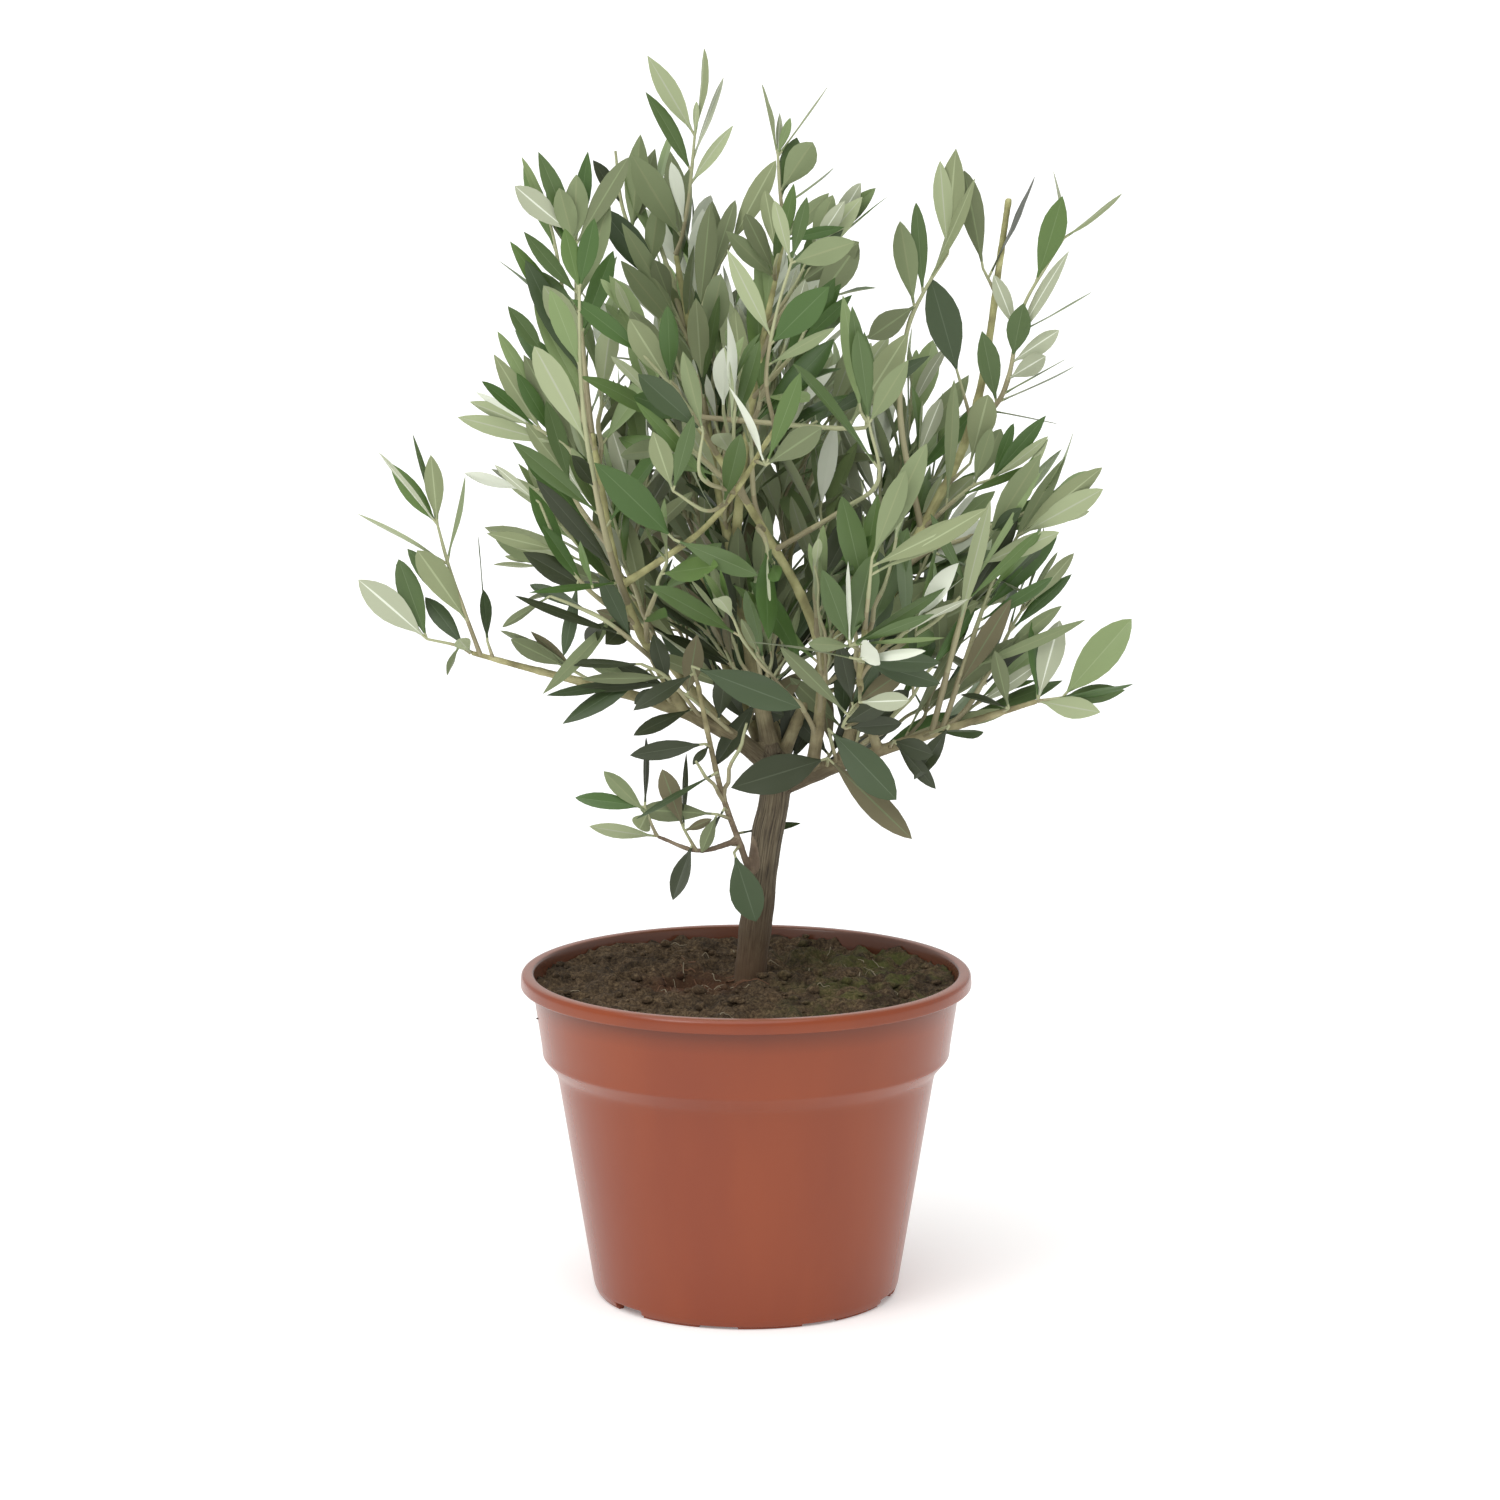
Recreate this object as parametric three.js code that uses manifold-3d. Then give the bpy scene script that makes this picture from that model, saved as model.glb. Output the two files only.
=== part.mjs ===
// A young olive tree in a moulded nursery pot.
// Millimetres, +Z up. The origin is on the ground, under the middle of the pot.
// The pot, the compost, the trunk, each bough and each mass of foliage are separate closed solids.
import * as THREE from "three";
import { mergeVertices } from "three/addons/utils/BufferGeometryUtils.js";
import Module from "manifold-3d";

const wasm = await Module();
wasm.setup();

// ---------------------------------------------------------------- driving dimensions

const gap = 0.3; // clearance between two solids that touch
const stepLength = 30; // along a bough, between two rings of its skin
const taper = 0.6; // below 1, a bough thins faster near its base than further out

const pot = {
  height: 138.3,
  rimRadius: 95,
  lipDepth: 6, // the rim is folded out and down into a hollow lip
  wallTopRadius: 90.6, // outside of the wall, under the lip
  collarFoot: [85.2, 101], // [radius, height] where the upper band ends
  bodyHead: [79.6, 96.4], // [radius, height] where the tapering body begins
  bodyFootRadius: 64.2,
  footRingRadius: 62.6,
  footRingHeight: 1.1,
  floorHeight: 3.8, // underside of the floor
  wall: 1.6,
  sides: 24,
};

const notches = {
  count: 9, // drain notches round the foot
  firstAngle: -140.6, // degrees from +X
  widthAngle: 15,
  shallow: 1.1, // only through the foot ring
  deep: 3.4, // every third one also cuts the wall
};

const compost = {
  middle: 131, // height of the surface round the trunk
  edge: 127.5, // and at the wall
  padRadius: 13, // level patch that the trunk stands on
  slopeLength: 60, // over which the surface falls away from it
  rings: 2,
};

const trunk = {
  cut: 131.3, // the flat cut at ground level
  route: [
    [0.6, 4, 126],
    [1.8, 3.8, 138],
    [5, 2, 165],
    [9.2, 0, 198],
    [12.4, 0, 216],
    [11, 0, 229],
  ],
  footRadius: 6.8,
  topRadius: 6.1,
  flare: 2.6, // how much wider the root flare is
  flareHeight: 0.08, // share of the trunk's length over which it dies out
};

// Each bough is one tapering limb: the limb it leaves, the share of that limb's length where it does so,
// the points it passes, of which the last is its end, and its radius at the base and at the tip.
const boughs = [
  ["bough_left", "trunk", 0.96, [[-17, -5, 245.5], [-114, -10, 275]], 4.7, 1.1],
  ["bough_left_riser", "bough_left", 0.33, [[-50, -14, 299], [-63, -21, 368]], 2.7, 1.3],
  ["bough_leader", "trunk", 0.97, [[-7, 9, 318], [-29, 12, 438]], 4.2, 1.2],
  ["bough_top_right", "bough_leader", 0.4, [[2, -6, 376], [16, -9, 450]], 2.4, 1.2],
  ["bough_right", "trunk", 0.88, [[58, -7, 234], [121, -12, 255]], 4.7, 1.1],
  ["bough_right_riser", "bough_right", 0.26, [[63, 8, 303], [93, 14, 365], [108.5, 15, 461]], 3.2, 1.4],
  ["bough_centre", "bough_right", 0.14, [[30.5, -14, 278], [-3, -26, 345], [-32, -34, 391]], 3.1, 1.3],
  ["bough_front_right", "bough_right", 0.4, [[47, -30, 262], [48, -62, 293]], 2.3, 1.3],
  ["bough_across", "bough_left_riser", 0.48, [[-14, -44, 334], [17, -76, 384]], 1.7, 1.1],
  ["bough_low_riser", "trunk", 0.44, [[-9.5, -11, 214], [-20, -16, 263]], 2, 1.4],
  ["bough_low_left", "bough_low_riser", 0.27, [[-22, -13, 192], [-37, -15, 198.5]], 1.7, 1.1],
].map(([name, from, at, via, base, tip]) => ({ name, from, at, via, base, tip }));

// The back of the crown is carried by a fan of like boughs.
const backFan = {
  count: 4,
  firstAngle: 28, // degrees from +X, seen from above
  lastAngle: 152,
  at: 0.93, // share of the trunk's length where they leave it
  reach: 66,
  height: 312,
  rise: 24, // the inner ones stand this much higher
  base: 3.4,
  tip: 1.3,
};

// Each mass of foliage is one uneven closed solid: the bough it is on, the share of that bough's length
// where it starts, the point it runs out to, its width across the front view and its depth along it.
const masses = [
  ["far_left_shoot", "bough_left", 0.98, [-141, -12, 366], 34, 34],
  ["far_left_tip", "bough_left", 1, [-162, -16, 305], 32, 34],
  ["left_low", "bough_left", 0.42, [-94, -34, 268], 26, 48],
  ["left_mid", "bough_left_riser", 0.34, [-110, 2, 336], 54, 60],
  ["left_high", "bough_left_riser", 0.72, [-116, -20, 388], 42, 60],
  ["left_top", "bough_left_riser", 1, [-86, -24, 484], 54, 60],
  ["leader_top", "bough_leader", 0.96, [-24, 6, 526], 38, 42],
  ["leader_left", "bough_leader", 0.72, [-48, 26, 492], 40, 50],
  ["upper_core", "bough_leader", 0.56, [16, 34, 442], 54, 54],
  ["lower_core", "bough_leader", 0.16, [-12, 10, 330], 62, 50],
  ["top_right", "bough_top_right", 0.94, [20, -12, 512], 44, 46],
  ["top_right_side", "bough_top_right", 0.62, [46, -16, 470], 40, 56],
  ["right_top", "bough_right_riser", 0.62, [82, 6, 486], 38, 48],
  ["far_right_top", "bough_right_riser", 0.66, [150, 8, 470], 40, 44],
  ["right_high", "bough_right_riser", 0.5, [138, -8, 404], 34, 50],
  ["right_mid", "bough_right_riser", 0.34, [148, -8, 352], 50, 62],
  ["right_low", "bough_right", 0.64, [132, 14, 316], 48, 56],
  ["right_tip", "bough_right", 1, [160.5, -18, 290], 38, 38],
  ["right_under", "bough_right", 0.46, [83, -24, 219], 36, 40],
  ["right_hanging", "bough_right", 0.3, [68, -28, 200], 28, 26],
  ["front_right", "bough_front_right", 1, [62, -112, 356], 60, 60],
  ["front_right_low", "bough_front_right", 0.66, [66, -92, 262], 44, 42],
  ["front_centre", "bough_centre", 0.6, [14, -100, 318], 62, 56],
  ["front_crown", "bough_centre", 0.97, [-28, -62, 450], 58, 56],
  ["across", "bough_across", 0.96, [28, -100, 442], 48, 46],
  ["front_left", "bough_left_riser", 0.62, [-62, -102, 366], 60, 56],
  ["front_low", "bough_low_riser", 0.98, [8, -56, 250], 54, 40],
  ["low_left", "bough_low_left", 0.92, [-78, -18, 209], 42, 36],
  ["low_left_high", "bough_low_riser", 0.72, [-52, -16, 234], 26, 26],
  ["trunk_side", "bough_low_riser", 0.22, [2, -20, 159], 20, 16],
].map(([name, on, at, head, width, depth]) => ({ name: `foliage_${name}`, on, at, head, width, depth }));

// Two masses ride on each bough of the back fan: a low one that leans out and a high one that stands up.
const backMasses = {
  high: { at: 0.97, reach: 84, height: 404, rise: 40, width: 62, depth: 60 },
  low: { at: 0.8, reach: 129, height: 312, rise: 6, width: 64, depth: 58 },
};

const unevenness = 0.1; // how far a mass's skin wanders, as a share of its radius
const widestAt = 0.18; // how far past the middle a mass is widest

// ---------------------------------------------------------------- solids

// A closed geometry as an exact solid.
function solidOf(geometry) {
  const bare = geometry.index ? geometry.toNonIndexed() : geometry.clone();
  bare.deleteAttribute("normal");
  bare.deleteAttribute("uv");
  const merged = mergeVertices(bare, 1e-3);
  const vertProperties = merged.attributes.position.array;
  const triVerts = new Uint32Array(merged.index.array);
  return new wasm.Manifold(new wasm.Mesh({ numProp: 3, vertProperties, triVerts }));
}

// The biggest piece of a solid that cuts may have left in several.
function biggest(solid) {
  const pieces = solid.decompose();
  return pieces.reduce((a, b) => (b.volume() > a.volume() ? b : a));
}

function geometryOf(solid) {
  const mesh = solid.getMesh();
  const places = new Float32Array(mesh.numVert * 3);
  for (let i = 0; i < mesh.numVert; i++) {
    places.set(mesh.vertProperties.subarray(i * mesh.numProp, i * mesh.numProp + 3), i * 3);
  }
  const geometry = new THREE.BufferGeometry();
  geometry.setAttribute("position", new THREE.BufferAttribute(places, 3));
  geometry.setIndex(new THREE.BufferAttribute(mesh.triVerts, 1));
  geometry.computeVertexNormals();
  return geometry;
}

const vector = (p) => new THREE.Vector3(...p);
const radians = THREE.MathUtils.degToRad;

// Stands a lathed form, turned about +Y, up on +Z.
const standing = (geometry) => geometry.rotateX(Math.PI / 2);

// ---------------------------------------------------------------- pot

// The wall's inside, from the floor to the rim, as [radius, height].
function potInside() {
  const { wall } = pot;
  return [
    [pot.bodyFootRadius - wall - 1, pot.floorHeight + wall],
    [pot.bodyHead[0] - wall, pot.bodyHead[1] + wall],
    [pot.collarFoot[0] - wall, pot.collarFoot[1] + wall],
    [pot.wallTopRadius - wall, pot.height],
  ];
}

function potProfile() {
  const { wall, height, lipDepth, rimRadius, wallTopRadius } = pot;
  const edge = 0.9; // rounding of the lip
  const lipInside = rimRadius - wall;
  return [
    [0, pot.floorHeight + wall],
    ...potInside(),
    [rimRadius - edge, height],
    [rimRadius, height - edge],
    [rimRadius, height - lipDepth],
    [lipInside, height - lipDepth],
    [lipInside, height - wall],
    [wallTopRadius, height - wall],
    pot.collarFoot,
    pot.bodyHead,
    [pot.bodyFootRadius + 0.4, pot.footRingHeight + 2],
    [pot.bodyFootRadius - 0.6, pot.footRingHeight],
    [pot.footRingRadius, pot.footRingHeight],
    [pot.footRingRadius, 0],
    [pot.footRingRadius - 2.4, 0],
    [pot.footRingRadius - 2.4, pot.floorHeight],
    [0, pot.floorHeight],
  ];
}

// A wedge-shaped cutter that opens one notch through the foot.
function notchCutter(angle, height) {
  const half = radians(notches.widthAngle / 2);
  const inner = pot.footRingRadius - 8;
  const outer = pot.rimRadius;
  const plan = new THREE.Shape();
  plan.moveTo(inner * Math.cos(half), -inner * Math.sin(half));
  plan.lineTo(outer, -outer * Math.tan(half));
  plan.lineTo(outer, outer * Math.tan(half));
  plan.lineTo(inner * Math.cos(half), inner * Math.sin(half));
  plan.closePath();
  const below = 5;
  const geometry = new THREE.ExtrudeGeometry(plan, { depth: height + below, bevelEnabled: false });
  return geometry.translate(0, 0, -below).rotateZ(radians(angle));
}

function makePot() {
  const profile = potProfile().map(([r, z]) => new THREE.Vector2(r, z));
  let solid = solidOf(standing(new THREE.LatheGeometry(profile.reverse(), pot.sides)));
  for (let i = 0; i < notches.count; i++) {
    const angle = notches.firstAngle + (i * 360) / notches.count;
    const height = i % 3 === 0 ? notches.deep : notches.shallow;
    solid = solid.subtract(solidOf(notchCutter(angle, height)));
  }
  return solid;
}

// ---------------------------------------------------------------- compost

// Height of the compost's surface: lumpy, lowest at the wall, level where the trunk stands.
function groundHeight(x, y) {
  const [tx, ty] = trunk.route[0];
  const away = Math.hypot(x - tx, y - ty);
  const share = Math.min(1, Math.max(0, (away - compost.padRadius) / compost.slopeLength));
  const slope = (compost.edge - compost.middle) * share;
  const lumps = 0.9 * Math.sin(x * 0.09 + 1) * Math.cos(y * 0.11) + 0.6 * Math.sin(x * 0.05 - y * 0.13);
  return compost.middle + slope + lumps * Math.min(1, share * 4);
}

function makeCompost() {
  const inside = potInside().slice(0, 3).map(([r, z]) => [r - gap, z + gap]);
  const [collar, rim] = potInside().slice(2);
  const share = (compost.edge - collar[1]) / (rim[1] - collar[1]);
  const edgeRadius = THREE.MathUtils.lerp(collar[0], rim[0], share) - 2 * gap;
  const top = [];
  for (let ring = compost.rings; ring > 0; ring--) {
    top.push([(edgeRadius * ring) / compost.rings, compost.edge]);
  }
  const outline = [[0, inside[0][1]], ...inside, ...top, [0, compost.edge]];
  const profile = outline.map(([r, z]) => new THREE.Vector2(r, z));
  const geometry = standing(new THREE.LatheGeometry(profile, pot.sides));
  const places = geometry.attributes.position;
  for (let i = 0; i < places.count; i++) {
    if (places.getZ(i) > compost.edge - gap) {
      places.setZ(i, groundHeight(places.getX(i), places.getY(i)));
    }
  }
  // The trunk's level seat is cut flat, a hair under its foot.
  const seatDepth = 20;
  const seat = new THREE.CylinderGeometry(compost.padRadius, compost.padRadius, seatDepth, 20);
  const [x, y] = trunk.route[0];
  seat.rotateX(Math.PI / 2).translate(x, y, trunk.cut - gap + seatDepth / 2);
  return solidOf(geometry).subtract(solidOf(seat));
}

// ---------------------------------------------------------------- trunk and boughs

// A lathed taper, bent along a curve. `extra` makes it that much bigger all over.
function limbGeometry(limb, extra = 0) {
  const { curve, steps, sides } = limb;
  const frames = curve.computeFrenetFrames(steps);
  const profile = [new THREE.Vector2(0, 0)];
  for (let i = 0; i <= steps; i++) {
    profile.push(new THREE.Vector2(limb.radiusAt(i / steps) + extra, i));
  }
  profile.push(new THREE.Vector2(0, steps));
  const geometry = new THREE.LatheGeometry(profile, sides);
  const places = geometry.attributes.position;
  const spot = new THREE.Vector3();
  for (let v = 0; v < places.count; v++) {
    const i = Math.round(places.getY(v));
    curve.getPointAt(i / steps, spot);
    spot.addScaledVector(frames.normals[i], places.getX(v));
    spot.addScaledVector(frames.binormals[i], -places.getZ(v));
    if (i === 0) spot.addScaledVector(frames.tangents[i], -extra);
    if (i === steps) spot.addScaledVector(frames.tangents[i], extra);
    places.setXYZ(v, spot.x, spot.y, spot.z);
  }
  return geometry;
}

function trunkLimb() {
  const curve = new THREE.CatmullRomCurve3(trunk.route.map(vector));
  const radiusAt = (t) => {
    const plain = THREE.MathUtils.lerp(trunk.footRadius, trunk.topRadius, t);
    return plain + trunk.flare * Math.exp(-t / trunk.flareHeight);
  };
  return { name: "trunk", curve, steps: 10, sides: 10, radiusAt };
}

// What is cut off under the trunk, so that it stands on a flat foot.
function belowGround() {
  const size = 40;
  return solidOf(new THREE.BoxGeometry(size, size, size).translate(0, 0, trunk.cut - size / 2));
}

function boughLimb(spec, limbs) {
  const start = limbs.get(spec.from).curve.getPointAt(spec.at);
  const curve = new THREE.CatmullRomCurve3([start, ...spec.via.map(vector)]);
  const radiusAt = (t) => THREE.MathUtils.lerp(spec.base, spec.tip, t ** taper);
  const steps = Math.round(curve.getLength() / stepLength) + 1;
  return { name: spec.name, curve, steps, sides: spec.base < 3 ? 5 : 6, radiusAt };
}

// The fan of boughs behind the trunk, worked out from its first and last angle.
function fanSpecs() {
  return Array.from({ length: backFan.count }, (_, i) => {
    const share = i / (backFan.count - 1);
    const angle = radians(THREE.MathUtils.lerp(backFan.firstAngle, backFan.lastAngle, share));
    const inner = Math.sin(share * Math.PI);
    const outward = [Math.cos(angle), Math.sin(angle)];
    const top = backFan.height + backFan.rise * inner;
    const forkHeight = trunk.route.at(-1)[2];
    const via = [[0.55, 0.45], [1, 1]].map(([out, up]) => [
      backFan.reach * out * outward[0],
      backFan.reach * out * outward[1],
      THREE.MathUtils.lerp(forkHeight, top, up),
    ]);
    return { ...backFan, name: `bough_back_${i + 1}`, from: "trunk", via, outward, inner };
  });
}

// ---------------------------------------------------------------- foliage

// The two masses that each back bough carries.
function fanMasses(fan) {
  return fan.flatMap(({ name: on, outward, inner }, i) =>
    Object.entries(backMasses).map(([level, size]) => {
      const [x, y] = outward.map((c) => c * size.reach);
      const head = [x, y, size.height + size.rise * inner];
      return { ...size, name: `foliage_back_${level}_${i + 1}`, on, head };
    }),
  );
}

// A mass's skin in one direction: a few slow waves, with phases of its own.
function skin(n, phase) {
  const wave =
    Math.sin(3.1 * n.x + phase) * Math.cos(2.3 * n.y - 2 * phase) +
    0.7 * Math.sin(4.3 * n.z + 3 * phase) * Math.cos(3.7 * n.x) +
    0.5 * Math.sin(5.9 * n.y + 4.1 * n.z + 5 * phase);
  return 1 + unevenness * wave;
}

// A rounded form from its foot to its head, fuller past the middle. `grow` scales it about its middle.
function massGeometry(spec, foot, phase, grow = 1) {
  const head = vector(spec.head);
  const length = head.distanceTo(foot);
  const axis = head.clone().sub(foot).normalize();
  const lies = Math.abs(axis.x) > 0.93; // a mass that points sideways takes its width upwards
  const reference = lies ? new THREE.Vector3(0, 0, 1) : new THREE.Vector3(1, 0, 0);
  const across = reference.addScaledVector(axis, -reference.dot(axis)).normalize();
  const deep = new THREE.Vector3().crossVectors(axis, across);
  const middle = foot.clone().lerp(head, 0.5);
  const geometry = new THREE.IcosahedronGeometry(1, 1);
  const places = geometry.attributes.position;
  const n = new THREE.Vector3();
  for (let v = 0; v < places.count; v++) {
    n.fromBufferAttribute(places, v);
    const girth = grow * skin(n, phase) * (1 + widestAt * n.z);
    const spot = middle.clone();
    spot.addScaledVector(across, (n.x * girth * spec.width) / 2);
    spot.addScaledVector(deep, (n.y * girth * spec.depth) / 2);
    spot.addScaledVector(axis, (n.z * grow * length) / 2);
    places.setXYZ(v, spot.x, spot.y, spot.z);
  }
  return geometry;
}

// ---------------------------------------------------------------- assembly

const finishes = {
  pot: new THREE.MeshStandardMaterial({ color: "#a05a41", roughness: 0.45, metalness: 0 }),
  compost: new THREE.MeshStandardMaterial({ color: "#3b2f25", roughness: 0.95, metalness: 0 }),
  bark: new THREE.MeshStandardMaterial({ color: "#75695a", roughness: 0.85, metalness: 0 }),
  foliage: new THREE.MeshStandardMaterial({ color: "#5f7a58", roughness: 0.6, metalness: 0 }),
};

const tree = new THREE.Group();

function add(name, solid, finish) {
  const mesh = new THREE.Mesh(geometryOf(solid), finishes[finish].clone());
  mesh.name = name;
  tree.add(mesh);
}

add("pot", makePot(), "pot");
add("compost", makeCompost(), "compost");

// Wood: every bough is cut back to the skin of the limbs made before it.
const limbs = new Map([["trunk", trunkLimb()]]);
const fan = fanSpecs();
for (const spec of [...boughs, ...fan]) limbs.set(spec.name, boughLimb(spec, limbs));
const grownLimbs = [];
for (const limb of limbs.values()) {
  let solid = solidOf(limbGeometry(limb));
  if (limb.name === "trunk") solid = solid.subtract(belowGround());
  for (const other of grownLimbs) solid = solid.subtract(other);
  add(limb.name, biggest(solid), "bark");
  grownLimbs.push(solidOf(limbGeometry(limb, gap)));
}

// Foliage: every mass is cut round the limbs and round the masses made before it.
const grownMasses = [];
[...masses, ...fanMasses(fan)].forEach((spec, i) => {
  const foot = limbs.get(spec.on).curve.getPointAt(spec.at);
  const phase = 1 + i * 1.7;
  let solid = solidOf(massGeometry(spec, foot, phase));
  for (const other of [...grownLimbs, ...grownMasses]) solid = solid.subtract(other);
  add(spec.name, biggest(solid), "foliage");
  const grow = 1 + (2 * gap) / Math.min(spec.width, spec.depth);
  grownMasses.push(solidOf(massGeometry(spec, foot, phase, grow)));
});

export default tree;
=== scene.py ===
import math
import random

import bmesh
import bpy
import numpy as np
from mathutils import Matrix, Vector, noise
from mathutils.bvhtree import BVHTree
from mathutils.kdtree import KDTree


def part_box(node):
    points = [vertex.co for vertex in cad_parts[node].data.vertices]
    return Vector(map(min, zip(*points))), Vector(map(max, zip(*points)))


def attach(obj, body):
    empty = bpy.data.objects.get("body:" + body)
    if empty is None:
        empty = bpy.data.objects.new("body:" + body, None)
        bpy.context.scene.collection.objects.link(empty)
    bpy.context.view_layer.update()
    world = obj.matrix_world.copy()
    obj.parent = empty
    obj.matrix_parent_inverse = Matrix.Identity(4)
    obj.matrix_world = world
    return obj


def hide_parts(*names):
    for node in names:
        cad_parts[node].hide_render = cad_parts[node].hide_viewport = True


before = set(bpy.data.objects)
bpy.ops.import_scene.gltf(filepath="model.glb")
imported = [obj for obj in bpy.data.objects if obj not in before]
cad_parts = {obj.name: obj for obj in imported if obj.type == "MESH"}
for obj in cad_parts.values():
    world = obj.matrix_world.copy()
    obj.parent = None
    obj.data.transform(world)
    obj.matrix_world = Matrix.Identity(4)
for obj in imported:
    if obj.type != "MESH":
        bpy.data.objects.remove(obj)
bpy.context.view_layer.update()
mm = 0.001  # everything below is worked out in millimetres

camera = {
    "place": (1.65, -1982.5, 576.7),  # two metres in front, a little above the crown
    "pitch": 9.855,  # degrees down
    "lens": 115.555,  # on the 36 mm sensor
    "reach": 2000,  # about how far off the plant is
}

studio = {
    "worldStrength": 0.72,
    "backdrop": 1.1,  # how bright the surroundings look, whatever light they give
    "sky": {"from": (-0.3, -0.7, 1.6), "spread": 70, "strength": 1.6},  # a big soft box, far off
    "key": {"place": (-900, -1100, 1100), "aim": (0, 0, 300), "size": 700, "power": 5},
    "floorColor": "#fbfbfa",
    "floorGlow": 0.16,  # the paper is lit from below too, as on a light table
    "floorSize": 60000,
}


def linear(code):
    # sRGB hex to the linear values that the shaders take
    parts = [int(code[i:i + 2], 16) / 255 for i in (1, 3, 5)]
    return [c / 12.92 if c <= 0.04045 else ((c + 0.055) / 1.055) ** 2.4 for c in parts] + [1]


def addNode(tree, kind, inputs=None, stops=None, to=None, **settings):
    # one node with its settings, its values or links, a ramp's stops, and the socket it leads to
    node = tree.nodes.new("ShaderNode" + kind)
    for name, value in settings.items():
        setattr(node, name, value)
    for key, value in (inputs or {}).items():
        if isinstance(value, bpy.types.Node):
            value = value.outputs[0]
        if isinstance(value, bpy.types.NodeSocket):
            tree.links.new(value, node.inputs[key])
        else:
            node.inputs[key].default_value = linear(value) if isinstance(value, str) else value
    for i, (place, color) in enumerate(stops or []):
        elements = node.color_ramp.elements
        element = elements[i] if i < 2 else elements.new(place)
        element.position = place
        element.color = linear(color) if isinstance(color, str) else (color, color, color, 1)
    if to:
        tree.links.new(node.outputs[0], to)
    return node


def newMaterial(name, color, roughness, **values):
    # a Principled material: the values go straight onto the shader's own sockets
    material = bpy.data.materials.new(name)
    material.use_nodes = True
    shader = material.node_tree.nodes["Principled BSDF"]
    for key, value in {"Base Color": linear(color), "Roughness": roughness, **values}.items():
        shader.inputs[key].default_value = value
    material.diffuse_color = linear(color)
    return material, material.node_tree, shader


def addObject(name, data, place=(0, 0, 0), looking=None):
    # an object at a place in millimetres, turned to look along a direction
    thing = bpy.data.objects.new(name, data)
    thing.location = Vector(place) * mm
    if looking is not None:
        thing.rotation_euler = looking.to_track_quat("-Z", "Y").to_euler()
    bpy.context.collection.objects.link(thing)
    return thing


def setUpCamera():
    data = bpy.data.cameras.new("camera")
    data.lens = camera["lens"]
    data.clip_end = 100
    eye = addObject("camera", data, camera["place"])
    eye.rotation_euler = (math.radians(90 - camera["pitch"]), 0, 0)
    bpy.context.scene.camera = eye


def addLights():
    key, sky = studio["key"], studio["sky"]
    lamp = bpy.data.lights.new("key", "AREA")
    lamp.shape = "DISK"
    lamp.size = key["size"] * mm
    lamp.energy = key["power"]
    addObject("key", lamp, key["place"], Vector(key["aim"]) - Vector(key["place"]))
    sun = bpy.data.lights.new("sky", "SUN")
    sun.energy = sky["strength"]
    sun.angle = math.radians(sky["spread"])
    addObject("sky", sun, looking=-Vector(sky["from"]))


def setUpStudio():
    world = bpy.data.worlds.new("studio")
    world.use_nodes = True
    tree = world.node_tree
    background = tree.nodes["Background"]
    background.inputs["Color"].default_value = (1, 1, 1, 1)
    seen = addNode(tree, "LightPath").outputs["Is Camera Ray"]
    levels = {"Value": seen, "To Min": studio["worldStrength"], "To Max": studio["backdrop"]}
    addNode(tree, "MapRange", levels, to=background.inputs["Strength"])
    bpy.context.scene.world = world
    half = studio["floorSize"] / 2 * mm
    mesh = bpy.data.meshes.new("floor")
    corners = [(-half, -half, 0), (half, -half, 0), (half, half, 0), (-half, half, 0)]
    mesh.from_pydata(corners, [], [(0, 1, 2, 3)])
    mesh.materials.append(newMaterial("background paper", studio["floorColor"], 0.9, **{
        "Emission Color": (1, 1, 1, 1), "Emission Strength": studio["floorGlow"]})[0])
    addObject("floor", mesh)
    bpy.context.scene.view_settings.view_transform = "Standard"


setUpCamera()
addLights()
setUpStudio()
print("camera and light set")


def unit(v):
    return v / np.linalg.norm(v)


def smoothLine(points, radii, step):
    # a Catmull-Rom curve through the points, walked with an even step
    points = np.asarray(points, float)
    before, after = 2 * points[0] - points[1], 2 * points[-1] - points[-2]
    ends = np.vstack([before, points, after])
    fine, wide = [], []
    for i in range(len(points) - 1):
        a, b, c, d = ends[i:i + 4]
        for t in np.linspace(0, 1, 12, endpoint=False):
            curve = 2 * b + (c - a) * t + (2 * a - 5 * b + 4 * c - d) * t**2
            fine.append(0.5 * (curve + (3 * b - a - 3 * c + d) * t**3))
            wide.append(radii[i] + (radii[i + 1] - radii[i]) * t)
    fine = np.vstack(fine + [points[-1]])
    wide.append(radii[-1])
    run = np.concatenate([[0], np.cumsum(np.linalg.norm(np.diff(fine, axis=0), axis=1))])
    at = np.linspace(0, run[-1], max(3, round(run[-1] / step)) + 1)
    line = np.column_stack([np.interp(at, run, fine[:, k]) for k in range(3)])
    return {"line": line, "radii": np.interp(at, run, wide), "run": at}


def addFrames(stem):
    # a tangent and two cross directions at each point, carried along without twist
    tangents = np.gradient(stem["line"], axis=0)
    tangents /= np.linalg.norm(tangents, axis=1)[:, None]
    helper = np.array([0, 1, 0]) if abs(tangents[0][1]) < 0.9 else np.array([1, 0, 0])
    across = []
    for tangent in tangents:
        helper = unit(helper - tangent * (helper @ tangent))
        across.append(helper)
    stem["tangents"], stem["across"] = tangents, np.array(across)
    stem["up"] = np.cross(tangents, stem["across"])
    return stem


def pointOn(stem, share):
    # place, direction and radius at a share of a stem's length
    at = share * stem["run"][-1]
    place = np.array([np.interp(at, stem["run"], stem["line"][:, k]) for k in range(3)])
    i = min(int(np.searchsorted(stem["run"], at)), len(stem["run"]) - 1)
    return place, stem["tangents"][i], float(np.interp(at, stem["run"], stem["radii"]))


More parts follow.
